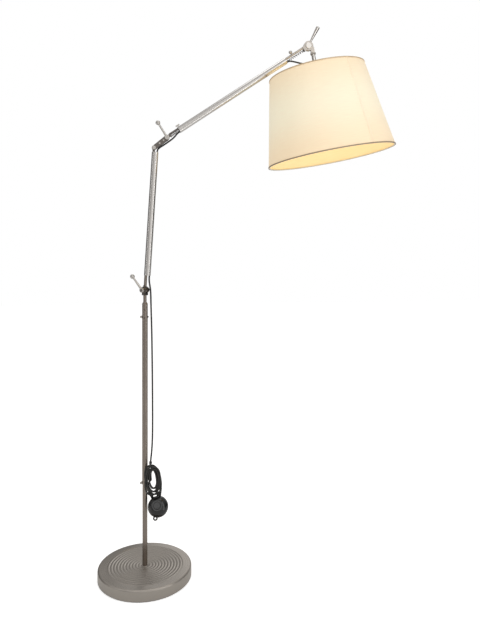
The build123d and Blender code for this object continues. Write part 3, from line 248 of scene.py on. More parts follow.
def lathe_brushed_nickel(settings):
    """Nickel plate on spun steel, brushed on the lathe: fine rings that fan the light out from the centre."""
    material, tree, shader = finish_named("nickel_plate_lathe_brushed", settings.nickel, 1.0, 0.3,
                                          Anisotropic=0.8)
    place = add_node(tree, "ShaderNodeTexCoord")
    flat = add_node(tree, "ShaderNodeVectorMath", {"operation": "MULTIPLY", 1: (1, 1, 0)},
                    {0: place.outputs["Object"]})
    radius = add_node(tree, "ShaderNodeVectorMath", {"operation": "LENGTH"}, {0: flat.outputs["Vector"]})
    # The real lines are about 0.1 mm apart; they are drawn further apart so that they show.
    rings = add_node(tree, "ShaderNodeTexNoise",
                     {"noise_dimensions": "1D", "Scale": frequency(RING_SPACING), "Detail": 4.0},
                     {"W": radius.outputs["Value"]})
    follow_roughness(tree, shader, rings, 0.22, 0.38)
    follow_height(tree, shader, rings.outputs["Fac"], 0.12, 0.0001)
    round_way = add_node(tree, "ShaderNodeTangent", {"direction_type": "RADIAL", "axis": "Z"})
    tree.links.new(round_way.outputs["Tangent"], shader.inputs["Tangent"])
    return material


def satin_tube_nickel(name, colour, lean):
    """Nickel plate on drawn steel tube, brushed along its length: long faint streaks and a soft gloss."""
    material, tree, shader = finish_named(name, colour, 1.0, 0.24)
    place = add_node(tree, "ShaderNodeTexCoord")
    turned = add_node(tree, "ShaderNodeMapping", {"Rotation": (0, lean, 0)},
                      {"Vector": place.outputs["Object"]})
    fine = frequency(STREAK_WIDTH)
    long_way = add_node(tree, "ShaderNodeMapping", {"Scale": (fine, fine, frequency(STREAK_LENGTH))},
                        {"Vector": turned.outputs["Vector"]})
    streaks = add_node(tree, "ShaderNodeTexNoise", {"Scale": 1.0, "Detail": 3.0},
                       {"Vector": long_way.outputs["Vector"]})
    follow_roughness(tree, shader, streaks, 0.18, 0.30)
    return material


def speckled(name, colour, metallic, low, high, grain_mm, strength, **sockets):
    """A finish whose roughness and surface vary with one fine grain."""
    material, tree, shader = finish_named(name, colour, metallic, low, **sockets)
    place = add_node(tree, "ShaderNodeTexCoord")
    grain = add_node(tree, "ShaderNodeTexNoise", {"Scale": frequency(grain_mm), "Detail": 5.0},
                     {"Vector": place.outputs["Object"]})
    follow_roughness(tree, shader, grain, low, high)
    follow_height(tree, shader, grain.outputs["Fac"], strength, 0.0002)
    return material


def linen_cloth(settings, name, colour, light, strength):
    """Plain woven linen blend on a stiff lining: two thread directions with slubs, lit from inside."""
    material, tree, shader = finish_named(name, colour, 0.0, 0.85, Sheen_Weight=0.25)
    cloth = add_node(tree, "ShaderNodeUVMap", {"uv_map": "cloth"})
    # The real threads are about 0.5 mm apart; the weave is drawn coarser so that it shows.
    threads = {"Scale": wave_scale(settings.thread_spacing), "Distortion": 1.2, "Detail": 1.0,
               "Detail Scale": 2.0}
    across, along = [add_node(tree, "ShaderNodeTexWave", {"bands_direction": way, **threads},
                              {"Vector": cloth.outputs["UV"]}) for way in ("X", "Y")]
    weave = add_node(tree, "ShaderNodeMath", {"operation": "MAXIMUM"},
                     {0: across.outputs["Fac"], 1: along.outputs["Fac"]})
    slub_size = (frequency(SLUB_LENGTH), frequency(SLUB_WIDTH), 1)
    slub_map = add_node(tree, "ShaderNodeMapping", {"Scale": slub_size},
                        {"Vector": cloth.outputs["UV"]})
    slubs = add_node(tree, "ShaderNodeTexNoise", {"Scale": 1.0, "Detail": 4.0},
                     {"Vector": slub_map.outputs["Vector"]})
    ramp = add_node(tree, "ShaderNodeValToRGB", None, {"Fac": slubs.outputs["Fac"]})
    ramp.color_ramp.elements[0].position = 0.3
    ramp.color_ramp.elements[0].color = [c * 0.9 for c in colour[:3]] + [1]
    ramp.color_ramp.elements[1].position = 0.7
    ramp.color_ramp.elements[1].color = colour
    tree.links.new(ramp.outputs["Color"], shader.inputs["Base Color"])
    follow_height(tree, shader, weave.outputs["Value"], 0.35, 0.0002)
    # The cloth glows cream beside the bulb and warmer away from it, and a little less through its threads.
    lit = add_node(tree, "ShaderNodeAttribute", {"attribute_name": "glow"})
    warmth = add_node(tree, "ShaderNodeValToRGB", None, {"Fac": lit.outputs["Fac"]})
    warmth.color_ramp.elements[0].color = [c * t for c, t in zip(light[:3], FAR_GLOW)] + [1]
    warmth.color_ramp.elements[1].color = light
    open_weave = add_node(tree, "ShaderNodeMapRange", {"To Min": 1.04, "To Max": 0.96},
                          {"Value": weave.outputs["Value"]})
    level = add_node(tree, "ShaderNodeMath", {"operation": "MULTIPLY", 1: strength},
                     {0: open_weave.outputs["Result"]})
    tree.links.new(warmth.outputs["Color"], shader.inputs["Emission Color"])
    tree.links.new(level.outputs["Value"], shader.inputs["Emission Strength"])
    return material


def dress(material, *nodes):
    """Gives frame nodes their material."""
    for node in nodes:
        piece = frame["nodes"][node]
        piece.data.materials.clear()
        piece.data.materials.append(material)


# ---------------------------------------------------------------- shapes
def new_piece(name, vertices, faces, material):
    """A smooth shaded mesh object in the scene."""
    mesh = bpy.data.meshes.new(name)
    mesh.from_pydata([tuple(v) for v in vertices], [], faces)
    mesh.materials.append(material)
    mesh.shade_smooth()
    piece = bpy.data.objects.new(name, mesh)
    bpy.context.scene.collection.objects.link(piece)
    return piece


def smooth_line(points):
    """Points along the smooth spline that has these route points as its control points."""
    data = bpy.data.curves.new("route", "CURVE")
    data.dimensions = "3D"
    data.resolution_u = 8
    spline = data.splines.new("NURBS")
    spline.points.add(len(points) - 1)
    for control, place in zip(spline.points, points):
        control.co = (*place, 1)
    spline.order_u = 3
    spline.use_endpoint_u = True
    route = bpy.data.objects.new("route", data)
    bpy.context.scene.collection.objects.link(route)
    mesh = bpy.data.meshes.new_from_object(route)
    line = [v.co.copy() for v in mesh.vertices]
    bpy.data.objects.remove(route)
    bpy.data.meshes.remove(mesh)
    bpy.data.curves.remove(data)
    return line


def tube(name, line, radius_at, material, sides=14):
    """Round tube along a line; radius_at gives its radius at each distance along the line."""
    ways = [(b - a).normalized() for a, b in zip(line, line[1:])]
    ways.append(ways[-1])
    side = ways[0].orthogonal().normalized()
    vertices, faces, run = [], [], 0.0
    for index, (point, way) in enumerate(zip(line, ways)):
        mean = (ways[max(index - 1, 0)] + way).normalized()
        side = (side - mean * side.dot(mean)).normalized()
        other = mean.cross(side)
        if index:
            run += (point - line[index - 1]).length
        radius = radius_at(run)
        for step in range(sides):
            turn = 2 * math.pi * step / sides
            vertices.append(point + side * (radius * math.cos(turn)) + other * (radius * math.sin(turn)))
    for ring in range(len(line) - 1):
        for step in range(sides):
            near, far = ring * sides, (ring + 1) * sides
            nxt = (step + 1) % sides
            faces.append((near + step, near + nxt, far + nxt, far + step))
    faces.append(tuple(reversed(range(sides))))
    faces.append(tuple(range((len(line) - 1) * sides, len(line) * sides)))
    return new_piece(name, vertices, faces, material)


def lathe(name, profile, place, material, segments=128):
    """Ring swept round the local Z axis of place from a closed profile of (radius, height)."""
    count = len(profile)
    vertices = []
    for segment in range(segments):
        turn = 2 * math.pi * segment / segments
        for radius, height in profile:
            vertices.append(place @ Vector((radius * math.cos(turn), radius * math.sin(turn), height)))
    faces = []
    for segment in range(segments):
        here, there = segment * count, (segment + 1) % segments * count
        for step in range(count):
            nxt = (step + 1) % count
            faces.append((here + step, there + step, there + nxt, here + nxt))
    return new_piece(name, vertices, faces, material)


def line_length(line):
    """Length of a line of points."""
    return sum((b - a).length for a, b in zip(line, line[1:]))


# ---------------------------------------------------------------- stage
class FLOORLAMP_OT_stage(bpy.types.Operator):
    """Pale floor, soft lights and the camera"""

    bl_idname = "floorlamp.stage"
    bl_label = "Stage"

    def execute(self, context):
        scene = context.scene
        floor_finish, tree, shader = finish_named("studio_floor_paint", linear("#E6E6E5"), 0.0, 0.7)
        # The floor looks plain white away from shadows, but reflects in the metal no brighter than it is lit.
        seen = add_node(tree, "ShaderNodeLightPath")
        lift = add_node(tree, "ShaderNodeMath", {"operation": "MULTIPLY_ADD", 1: FLOOR_LIFT, 2: FLOOR_GLOW},
                        {0: seen.outputs["Is Camera Ray"]})
        shader.inputs["Emission Color"].default_value = (1, 1, 1, 1)
        tree.links.new(lift.outputs["Value"], shader.inputs["Emission Strength"])
        corners = [(x * FLOOR_REACH, y * FLOOR_REACH, 0) for x, y in ((-1, -1), (1, -1), (1, 1), (-1, 1))]
        floor = new_piece("studio_floor", corners, [(0, 1, 2, 3)], floor_finish)
        scene.view_settings.view_transform = "Standard"

        world = bpy.data.worlds.new("studio")
        scene.world = world
        world.use_nodes = True
        tree = world.node_tree
        way = add_node(tree, "ShaderNodeTexCoord")
        parts = add_node(tree, "ShaderNodeSeparateXYZ", None, {0: way.outputs["Generated"]})
        front = add_node(tree, "ShaderNodeMath", {"operation": "MULTIPLY", 1: -1.0}, {0: parts.outputs["Y"]})
        azimuth = add_node(tree, "ShaderNodeMath", {"operation": "ARCTAN2"},
                           {0: parts.outputs["X"], 1: front.outputs["Value"]})
        share = add_node(tree, "ShaderNodeMapRange", {"From Min": -math.pi, "From Max": math.pi},
                         {"Value": azimuth.outputs["Value"]})
        # Round the room from behind the lamp by its left, the front and its right: panels and dark gaps.
        walls = add_node(tree, "ShaderNodeValToRGB", None, {"Fac": share.outputs["Result"]})
        steps = walls.color_ramp.elements
        for place, _ in WALL_LEVELS[1:-1]:
            steps.new(place)
        for step, (_, level) in zip(steps, WALL_LEVELS):
            step.color = (level, level * 0.985, level * 0.965, 1)
        height = add_node(tree, "ShaderNodeMapRange", {"From Min": 0.15, "From Max": 0.75},
                          {"Value": parts.outputs["Z"]})
        room = add_node(tree, "ShaderNodeMix", {"data_type": "RGBA", 7: CEILING},
                        {0: height.outputs["Result"], 6: walls.outputs["Color"]})
        soft = tree.nodes["Background"]
        tree.links.new(room.outputs[2], soft.inputs["Color"])
        soft.inputs["Strength"].default_value = 1.0
        plain = add_node(tree, "ShaderNodeBackground", {"Color": (1, 1, 1, 1), "Strength": 1.0})
        seen = add_node(tree, "ShaderNodeLightPath")
        pick = add_node(tree, "ShaderNodeMixShader", None, {0: seen.outputs["Is Camera Ray"],
                                                            1: soft.outputs[0], 2: plain.outputs[0]})
        tree.links.new(pick.outputs[0], tree.nodes["World Output"].inputs["Surface"])

        for name, place, target, width, height, energy in LIGHTS:
            data = bpy.data.lights.new(name, "AREA")
            data.shape = "RECTANGLE"
            data.size = width
            data.size_y = height
            data.energy = energy
            lamp = bpy.data.objects.new(name, data)
            lamp.location = place
            lamp.rotation_euler = (Vector(target) - Vector(place)).to_track_quat("-Z", "Y").to_euler()
            scene.collection.objects.link(lamp)

        view = bpy.data.cameras.new("camera")
        view.sensor_width = SENSOR_WIDTH
        view.lens = LENS
        view.shift_y = VIEW_SHIFT
        camera = bpy.data.objects.new("camera", view)
        camera.location = CAMERA_PLACE
        camera.rotation_euler = Vector(CAMERA_WAY).to_track_quat("-Z", "Y").to_euler()
        scene.collection.objects.link(camera)
        scene.camera = camera
        return {"FINISHED"}


# ---------------------------------------------------------------- frame finishes
class FLOORLAMP_OT_metal_finishes(bpy.types.Operator):
    """Finishes of the frame's metal pieces"""

    bl_idname = "floorlamp.metal_finishes"
    bl_label = "Metal finishes"

    def execute(self, context):
        settings = context.scene.floor_lamp
        spun = lathe_brushed_nickel(settings)
        dress(spun, "base_cover")
        # The pole's tubes and the stem rod get the darker copy of the nickel plate: painted shade.
        upright = satin_tube_nickel("nickel_tube_satin_upright_painted_shade", settings.nickel_painted_shade, 0.0)
        # The arm tubes get the lighter copy of the nickel plate: painted light.
        leaning = satin_tube_nickel("nickel_tube_satin_lower_arm_painted_light", settings.nickel_painted_light, -LOWER_LEAN)
        rising = satin_tube_nickel("nickel_tube_satin_upper_arm_painted_light", settings.nickel_painted_light,
                                   UPPER_RISE - math.pi / 2)
        dress(upright, "lower_pole_tube", "upper_pole_tube", "stem_rod")
        dress(leaning, "lower_arm_tube")
        dress(rising, "upper_arm_tube")
        # Machined and plated small pieces: a fine grain from the tool under a clear plate.
        machined = speckled("nickel_plate_machined", settings.nickel, 1.0, 0.18, 0.3, 0.5, 0.05)
        dress(machined, "head_joint_rod", "head_knuckle", "stem_nut")
        # The pole's ring and collar and the lower arm's foot rod get the darker copy too: painted shade.
        turned = speckled("nickel_plate_turned_painted_shade", settings.nickel_painted_shade, 1.0, 0.18, 0.3, 0.5, 0.05)
        dress(turned, "pole_ring", "pole_collar", "lower_arm_foot_rod")
        # The elbow and the fork get a darker copy of the nickel plate than the tubes.
        darker = speckled("nickel_plate_darker_copy", settings.dark_nickel, 1.0, 0.2, 0.34, 0.5, 0.05)
        dress(darker, "stem_clevis", "elbow_plates", "lower_arm_top_rod", "upper_arm_foot_rod")
        # Polished plate on the levers and thumb screws: near mirror, with faint handling marks.
        polished = speckled("nickel_plate_polished", settings.bright_nickel, 1.0, 0.05, 0.12, 4.0, 0.02)
        dress(polished, "ring_thumb_screw", "collar_thumb_screw", "lower_clamp_lever", "elbow_clamp_lever",
              "head_clamp_lever", "wing_screw", "arm_knob_screw", "elbow_fasteners", "lampholder_stem")
        dress(speckled("zinc_plated_steel", linear("#B9B9B4"), 1.0, 0.3, 0.45, 1.0, 0.05), "base_fasteners")
        dress(speckled("cast_iron_as_cast", linear("#3A3A3C"), 0.6, 0.7, 0.9, 1.5, 0.6), "base_weight")
        # Blackened screws and the dark fluted nut: oxide finish, matt with a steel glint.
        oxide = speckled("steel_black_oxide", linear("#242322"), 0.8, 0.35, 0.5, 0.6, 0.08)
        dress(oxide, "collar_screws", "lower_clamp_nut")
        # Spring wire: oil hardened and dark; its brown tint is a painted reflection of the shade's warm glow.
        wire = speckled("spring_wire_oil_hardened_painted_warm_reflection", linear("#5B4A3E"), 1.0, 0.28, 0.45, 0.8, 0.08)
        dress(wire, "arm_springs", "switch_spring")
        # Shade wires: white stove enamel over drawn wire.
        enamel = speckled("wire_stove_enamel", linear("#D8D2C4"), 0.0, 0.3, 0.4, 2.0, 0.05)
        dress(enamel, "shade_carrier", "shade_bottom_ring")
        dress(speckled("brass_drawn", linear("#C9A867"), 1.0, 0.2, 0.3, 1.0, 0.04), "bulb_cap")
        return {"FINISHED"}


class FLOORLAMP_OT_moulded_finishes(bpy.types.Operator):
    """Finishes of the frame's moulded pieces"""

    bl_idname = "floorlamp.moulded_finishes"
    bl_label = "Moulded finishes"

    def execute(self, context):
        settings = context.scene.floor_lamp
        # Black ABS from a polished mould: deep gloss with a trace of orange peel.
        gloss = speckled("abs_moulded_gloss", settings.gloss_black, 0.0, 0.12, 0.20, 3.0, 0.04,
                         Coat_Weight=0.1)
        dress(gloss, "switch_cover", "switch_button")
        # Black nylon from a textured mould: fine grain, low gloss.
        nylon = speckled("nylon_moulded_textured", linear("#1B1B1B"), 0.0, 0.42, 0.6, 0.7, 0.2)
        dress(nylon, "lower_arm_end_plugs", "upper_arm_end_plugs", "switch_base", "switch_glands",
              "plug_body", "hank_tie")
        dress(speckled("rubber_sheet_pressed", linear("#151515"), 0.0, 0.75, 0.9, 1.0, 0.3), "base_pad")
        pins = speckled("brass_pins_nickel_plated", linear("#D8D5CE"), 1.0, 0.12, 0.22, 1.5, 0.03)
        dress(pins, "plug_pins")
        # Glazed porcelain and white moulded resin of the lampholder.
        glaze = speckled("porcelain_glazed", linear("#EFEBE0"), 0.0, 0.12, 0.2, 5.0, 0.03, Coat_Weight=0.5)
        dress(glaze, "lampholder_cap", "lampholder_body", "shade_clamp_ring")
        flex = speckled("pvc_extruded", settings.pvc, 0.0, 0.38, 0.55, 1.2, 0.1)
        dress(flex, "lower_arm_lead", "upper_arm_lead")
        opal, _, shader = finish_named("opal_glass_frosted_lit", linear("#FFF6E4"), 0.0, 0.35)
        shader.inputs["Emission Color"].default_value = settings.bulb_light
        shader.inputs["Emission Strength"].default_value = settings.bulb_glow
        dress(opal, "bulb_glass")
        return {"FINISHED"}


# ---------------------------------------------------------------- leads
def lead_tube(name, line, settings):
    """The lead's round tube along a line."""
    radius = settings.lead_diameter / 2
    return tube(name, line, lambda run: radius, bpy.data.materials["pvc_extruded"])


def hank_point(inward, turn, depth, lean):
    """Point of a loose turn: inward is 0 on the outermost turn and HANK_LAYERS on the innermost, turn is its
    angle from the top towards the left, and lean tips the turn about the hank's middle."""
    share = inward / HANK_LAYERS
    half_width = HANK_HALF_WIDTH - HANK_NARROWS * share
    half_height = HANK_HALF_HEIGHT - HANK_SHORTENS * share
    middle = [start + drift * share for start, drift in zip(HANK_MIDDLE, HANK_DRIFT)]
    across = -half_width * math.copysign(abs(math.sin(turn)) ** HANK_ROUNDNESS, math.sin(turn))
    up = half_height * math.copysign(abs(math.cos(turn)) ** HANK_ROUNDNESS, math.cos(turn))
    return (middle[0] + across * math.cos(lean) + up * math.sin(lean), depth,
            middle[1] + up * math.cos(lean) - across * math.sin(lean))


class FLOORLAMP_OT_lamp_lead(bpy.types.Operator):
    """The lead from the lower joint down beside the pole, through its hank and into the foot switch"""

    bl_idname = "floorlamp.lamp_lead"
    bl_label = "Lamp lead"

    def execute(self, context):
        settings = context.scene.floor_lamp
        points = [(0.0178, -0.0025, 0.838), (0.0184, -0.0026, 0.808), (0.0204, -0.0030, 0.748),
                  (0.0220, -0.0040, 0.640), (0.0232, -0.0060, 0.500), (0.0230, -0.0090, 0.420),
                  (0.0206, -0.0130, 0.379), (0.0176, -0.0156, 0.354), (0.0168, -0.0162, 0.3435),
                  (0.0140, -0.0195, 0.3340)]
        count = round(settings.turn_points * settings.lamp_turns)
        first = math.radians(LAMP_FIRST)
        for step in range(count + 1):
            turns = step / settings.turn_points
            points.append(hank_point(turns, first + 2 * math.pi * turns, LAMP_DEPTH,
                                     math.radians(LAMP_LEAN - LAMP_LEAN_STEP * turns)))
        points += [(0.0322, -0.0215, 0.3175), (0.0285, -0.0150, 0.3195), (0.0285, -0.0060, 0.3165),
                   (0.0335, -0.0005, 0.3100), (0.0425, 0.0030, 0.3000), (0.0475, 0.0060, 0.2875),
                   (0.0490, 0.0080, 0.2750), (0.04838, 0.00551, 0.26260), (0.04701, 0.00170, 0.25571)]
        line = smooth_line(points)
        lead = lead_tube("lamp_lead", line, settings)
        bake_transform(lead)
        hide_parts("lead_beside_pole", "lead_hank", "lead_into_switch")
        return {"FINISHED"}


class FLOORLAMP_OT_mains_lead(bpy.types.Operator):
    """The lead from the foot switch through its hank to the plug"""

    bl_idname = "floorlamp.mains_lead"
    bl_label = "Mains lead"

    def execute(self, context):
        settings = context.scene.floor_lamp
        points = [(0.01456, 0.00174, 0.24799), (0.00915, 0.00652, 0.25491), (0.0082, 0.0090, 0.2645),
                  (0.0100, 0.0095, 0.2755), (0.0145, 0.0045, 0.2845), (0.0175, -0.0040, 0.2895),
                  (0.0190, -0.0120, 0.2940)]
        count = round(settings.turn_points * settings.mains_turns)
        first = math.radians(MAINS_FIRST)
        for step in range(count + 1):
            turns = step / settings.turn_points
            inward = max(MAINS_INNERMOST - turns, MAINS_OUTERMOST)
            back = min(max((turns - MAINS_BACK_FROM) / MAINS_BACK_OVER, 0), 1)
            points.append(hank_point(inward, first - 2 * math.pi * turns, MAINS_DEPTH + MAINS_BACK_BY * back,
                                     math.radians(MAINS_LEAN - MAINS_LEAN_STEP * turns)))
        points += [(0.0440, -0.0100, 0.2645), (0.0390, -0.0015, 0.2605), (0.0365, 0.0090, 0.2585),
                   (0.0374, 0.0185, 0.2490), (0.0380, 0.0220, 0.2370), (0.0380, 0.0220, 0.2250)]
        line = smooth_line(points)
        lead = lead_tube("mains_lead", line, settings)
        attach(lead, "upper_pole")
        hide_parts("lead_out_of_switch", "lead_to_plug")
        return {"FINISHED"}


class FLOORLAMP_OT_joint_leads(bpy.types.Operator):
    """The short lengths of lead at the joints"""

    bl_idname = "floorlamp.joint_leads"
    bl_label = "Leads at the joints"

    def execute(self, context):
        settings = context.scene.floor_lamp
        # name, replaced node, bodies, where the bend starts and ends, route
        leads = (
            ("lead_by_clamp", "lead_at_lower_joint", "lower_arm", "stem",
             (0.0125, 0, 0.895), (0.0178, -0.0025, 0.842),
             [(0.01304, 0.0, 0.90827), (0.01216, 0.0, 0.89429), (0.0148, -0.0014, 0.878),
              (0.01732, -0.00242, 0.862), (0.0178, -0.0025, 0.838)]),
            ("lead_below_link", "lead_at_elbow_low", "lower_arm", "elbow_link",
             (0.0370, 0, 1.2860), (0.0560, 0, 1.3050),
             [(0.03653, 0.0, 1.28153), (0.03684, 0.0, 1.28652), (0.0393, -0.0002, 1.2920),
              (0.0462, -0.0005, 1.2978), (0.0581, -0.0008, 1.3052), (0.0702, -0.0010, 1.3140)]),
            ("lead_into_arm", "lead_at_elbow_high", "elbow_link", "upper_arm",
             (0.0740, 0, 1.3170), (0.1000, 0, 1.3420),
             [(0.0702, -0.0010, 1.3140), (0.08152, -0.00119, 1.32223), (0.0916, -0.0022, 1.3322),
              (0.09756, -0.0026, 1.34058), (0.10584, -0.0026, 1.34617)]),
            ("lead_into_head", "lead_at_head", "upper_arm", "head",
             (0.4420, 0, 1.5725), (0.5120, 0, 1.5600),
             [(0.43561, -0.0026, 1.56902), (0.44058, -0.0026, 1.57238), (0.4496, -0.0024, 1.5732),
              (0.4635, -0.0018, 1.5710), (0.4832, 0.0, 1.5675), (0.5011, 0.0020, 1.5660),
              (0.5110, 0.0032, 1.5625), (0.51581, 0.0035, 1.55651), (0.51741, 0.0035, 1.54765)]),
        )
        for name, node, near, far, start, end, points in leads:
            lead = lead_tube(name, smooth_line(points), settings)
            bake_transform(lead)
            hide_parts(node)
        return {"FINISHED"}


class FLOORLAMP_OT_strain_reliefs(bpy.types.Operator):
    """Ribbed sleeves where the lead enters the switch and the plug"""

    bl_idname = "floorlamp.strain_reliefs"
    bl_label = "Strain reliefs"

    def execute(self, context):
        nylon = bpy.data.materials["nylon_moulded_textured"]
        # name, inner end in its housing, outer end, further point on the lead's way
        sleeves = (("switch_relief_lamp", (0.04428, -0.00555, 0.24208), (0.04701, 0.00170, 0.25571),
                    (0.04820, 0.0050, 0.2617)),
                   ("switch_relief_mains", (0.02278, -0.00552, 0.23748), (0.01456, 0.00174, 0.24799),
                    (0.01110, 0.0048, 0.2525)),
                   ("plug_relief", (0.0380, 0.0220, 0.2190), (0.0380, 0.0220, 0.2320),
                    (0.0380, 0.0218, 0.2400)))
        for name, inner, outer, beyond in sleeves:
            route = smooth_line([inner, outer, beyond])
            whole = line_length(route)
            line = [self.point_at(route, whole * step / SLEEVE_STEPS) for step in range(SLEEVE_STEPS + 1)]

            def radius_at(run):
                taper = SLEEVE_RADIUS - SLEEVE_TAPER * run / whole
                rib = SLEEVE_RIB * (1 if math.sin(2 * math.pi * run / SLEEVE_RIB_SPACING) > 0 else -1)
                return taper + rib

            sleeve = tube(name, line, radius_at, nylon, SLEEVE_SIDES)
            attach(sleeve, "upper_pole")
        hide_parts("switch_glands")
        return {"FINISHED"}

    @staticmethod
    def point_at(route, distance):
        """Point this far along a line."""
        for a, b in zip(route, route[1:]):
            step = (b - a).length
            if distance <= step:
                return a.lerp(b, distance / step)
            distance -= step
        return route[-1].copy()


# ---------------------------------------------------------------- shade
def shade_place(settings):
    """Frame of the shade: local Z runs down its axis from the head joint, local X away from the arm."""
    away = Vector((math.cos(settings.shade_tilt), 0, math.sin(settings.shade_tilt)))
    down = Vector((math.sin(settings.shade_tilt), 0, -math.cos(settings.shade_tilt)))
    side = down.cross(away)
    low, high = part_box("bulb_glass")
    middle = (low.y + high.y) / 2
    origin = HEAD_PIVOT + away * settings.shade_offset
    origin.y = middle
    place = Matrix((away, side, down)).transposed().to_4x4()
    place.translation = origin
    return place


def outer_radius(settings, depth):
    """Radius of the shade's outside this far down its axis."""
    slope = (settings.bottom_radius - settings.top_radius) / settings.shade_height
    return settings.top_radius + slope * (depth - settings.shade_top)


def glow_at(settings, depth, turn):
    """Share of the bulb's light on the cloth this far down and round it; a leg of the carrier shades it."""
    round_way = turn - settings.seam_angle
    near = math.exp(-((depth - BULB_DEPTH) / BULB_REACH) ** 2)
    legs = LEG_SHADOW * math.exp(-(math.remainder(round_way + LEG_TURN, 2 * math.pi) / LEG_SPREAD) ** 2)
    return max(0.0, near * (1 - legs) - LEG_DIM * legs)


def cone_sheet(name, settings, span, turns, lift, thickness, materials):
    """Thin curved sheet of the shade: span is its depths, turns its angles, lift its height over the cone."""
    place = shade_place(settings)
    full = turns[1] - turns[0] > 2 * math.pi - 0.001
    columns = max(round((turns[1] - turns[0]) / (2 * math.pi) * SHEET_COLUMNS), 3)
    wide = columns + (0 if full else 1)
    rows = SHEET_ROWS
    mean = (settings.top_radius + settings.bottom_radius) / 2
    vertices, cloth_uv, glow = [], [], []
    for inside in (False, True):
        for row in range(rows + 1):
            depth = span[0] + (span[1] - span[0]) * row / rows
            for column in range(wide):
                turn = turns[0] + (turns[1] - turns[0]) * column / columns
                # The stiffened cloth isn't perfectly round: it ripples by a fraction of a millimetre.
                ripple = sum(high * math.sin(waves * turn + phase * depth) for high, waves, phase in RIPPLES)
                radius = outer_radius(settings, depth) - CLOTH_INSET + lift + ripple
                radius -= thickness if inside else 0
                vertices.append(place @ Vector((radius * math.cos(turn), radius * math.sin(turn), depth)))
                cloth_uv.append((turn * mean, depth))
                glow.append(glow_at(settings, depth, turn))
    layer = wide * (rows + 1)
    faces, inner = [], []
    for row in range(rows):
        for column in range(columns):
            nxt = (column + 1) % wide
            a, b = row * wide + column, row * wide + nxt
            c, d = (row + 1) * wide + nxt, (row + 1) * wide + column
            faces.append((a, b, c, d))
            inner.append(0)
            faces.append((layer + d, layer + c, layer + b, layer + a))
            inner.append(1)
    for column in range(columns):
        nxt = (column + 1) % wide
        faces.append((layer + column, layer + nxt, nxt, column))
        low = rows * wide
        faces.append((low + column, low + nxt, layer + low + nxt, layer + low + column))
        inner += [0, 0]
    if not full:
        for row in range(rows):
            for edge, order in ((0, 1), (columns, -1)):
                a, d = row * wide + edge, (row + 1) * wide + edge
                faces.append((a, d, layer + d, layer + a)[::order])
                inner.append(0)
    piece = new_piece(name, vertices, faces, materials[0])
    mesh = piece.data
    for extra in materials[1:]:
        mesh.materials.append(extra)
    uv = mesh.uv_layers.new(name="cloth")
    for polygon, side in zip(mesh.polygons, inner):
        polygon.material_index = side if len(materials) > 1 else 0
        places = [cloth_uv[vertex][0] for vertex in polygon.vertices]
        wraps = max(places) - min(places) > mean
        for loop, vertex in zip(polygon.loop_indices, polygon.vertices):
            across, down = cloth_uv[vertex]
            if wraps and across < mean * (turns[0] + math.pi):
                across += 2 * math.pi * mean
            uv.data[loop].uv = (across, down)
    lit = mesh.attributes.new("glow", "FLOAT", "POINT")
    lit.data.foreach_set("value", glow)
    return piece


class FLOORLAMP_OT_shade_cloth(bpy.types.Operator):
    """The shade's cloth on its lining, with its glued seam"""

    bl_idname = "floorlamp.shade_cloth"
    bl_label = "Shade cloth"

    def execute(self, context):
        settings = context.scene.floor_lamp
        outside = linen_cloth(settings, "linen_woven_on_lining", settings.cloth, settings.cloth_light,
                              settings.glow)
        inside = linen_cloth(settings, "styrene_lining_laminated", settings.lining, settings.lining_light,
                             settings.glow)
        span = (settings.shade_top + CLOTH_EDGE, settings.shade_top + settings.shade_height - CLOTH_EDGE)
        start = settings.seam_angle
        cloth = cone_sheet("shade_cloth", settings, span, (start, start + 2 * math.pi), 0.0,
                           settings.cloth_thickness, (outside, inside))
        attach(cloth, "head")
        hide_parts("shade_fabric")
        seam_finish = linen_cloth(settings, "linen_seam_doubled", settings.cloth, settings.cloth_light,
                                  settings.glow * SEAM_GLOW)
        width = SEAM_WIDTH / settings.bottom_radius
        seam = cone_sheet("shade_seam", settings, span, (start - width / 2, start + width / 2), SEAM_LIFT,
                          SEAM_THICKNESS, (seam_finish,))
        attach(seam, "head")
        return {"FINISHED"}


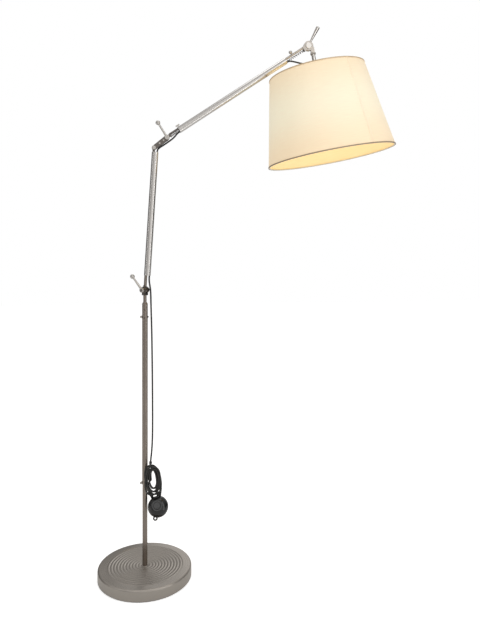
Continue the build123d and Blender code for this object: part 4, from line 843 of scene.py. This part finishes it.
class FLOORLAMP_OT_shade_trims(bpy.types.Operator):
    """Tape folded over the shade's two edges"""

    bl_idname = "floorlamp.shade_trims"
    bl_label = "Edge tapes"

    def execute(self, context):
        settings = context.scene.floor_lamp
        place = shade_place(settings)
        tapes = {"top_edge_tape": speckled("cotton_tape_pale", settings.top_tape, 0.0, 0.8, 0.95, 0.8, 0.4),
                 "bottom_edge_tape": speckled("cotton_tape_grey", settings.tape, 0.0, 0.8, 0.95, 0.8, 0.4)}
        end = settings.shade_top + settings.shade_height
        for name, edge, way in (("top_edge_tape", settings.shade_top, 1), ("bottom_edge_tape", end, -1)):
            profile = []
            inner_cloth = settings.cloth_thickness + CLOTH_INSET
            # Round the edge from the outside to the inside, then back along the tape's inner face.
            outline = ((settings.hem_width, 0.0002), (0.0030, 0.0004), (0.0008, 0.0004), (0.0001, 0.0001),
                       (0.0001, -inner_cloth), (0.0008, -inner_cloth - 0.0005),
                       (0.0030, -inner_cloth - 0.0005), (settings.hem_width, -inner_cloth - 0.0003),
                       (settings.hem_width, -inner_cloth + 0.0001),
                       (0.0010, -inner_cloth + 0.0002), (0.0010, -0.0004), (settings.hem_width, -0.0004))
            for along, out in outline:
                depth = edge + way * along
                profile.append((outer_radius(settings, depth) + out, depth))
            if way < 0:
                profile.reverse()
            hem = lathe(name, profile, place, tapes[name], 144)
            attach(hem, "head")
        return {"FINISHED"}


# ---------------------------------------------------------------- add-on
class FLOORLAMP_PT_panel(bpy.types.Panel):
    """Lists the lamp's building steps"""

    bl_idname = "FLOORLAMP_PT_panel"
    bl_label = "Floor lamp"
    bl_space_type = "VIEW_3D"
    bl_region_type = "UI"
    bl_category = "Floor lamp"

    def draw(self, context):
        for step in STEPS:
            self.layout.operator(step.bl_idname)


STEPS = (
    FLOORLAMP_OT_stage,
    FLOORLAMP_OT_metal_finishes,
    FLOORLAMP_OT_moulded_finishes,
    FLOORLAMP_OT_strain_reliefs,
    FLOORLAMP_OT_lamp_lead,
    FLOORLAMP_OT_mains_lead,
    FLOORLAMP_OT_joint_leads,
    FLOORLAMP_OT_shade_cloth,
    FLOORLAMP_OT_shade_trims,
)
CLASSES = (FloorLampSettings, *STEPS, FLOORLAMP_PT_panel)


def register():
    for item in CLASSES:
        bpy.utils.register_class(item)
    bpy.types.Scene.floor_lamp = PointerProperty(type=FloorLampSettings)


def unregister():
    del bpy.types.Scene.floor_lamp
    for item in reversed(CLASSES):
        bpy.utils.unregister_class(item)


def main():
    """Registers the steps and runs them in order."""
    register()
    for step in STEPS:
        group, name = step.bl_idname.split(".")
        getattr(getattr(bpy.ops, group), name)()


if __name__ == "__main__":
    main()
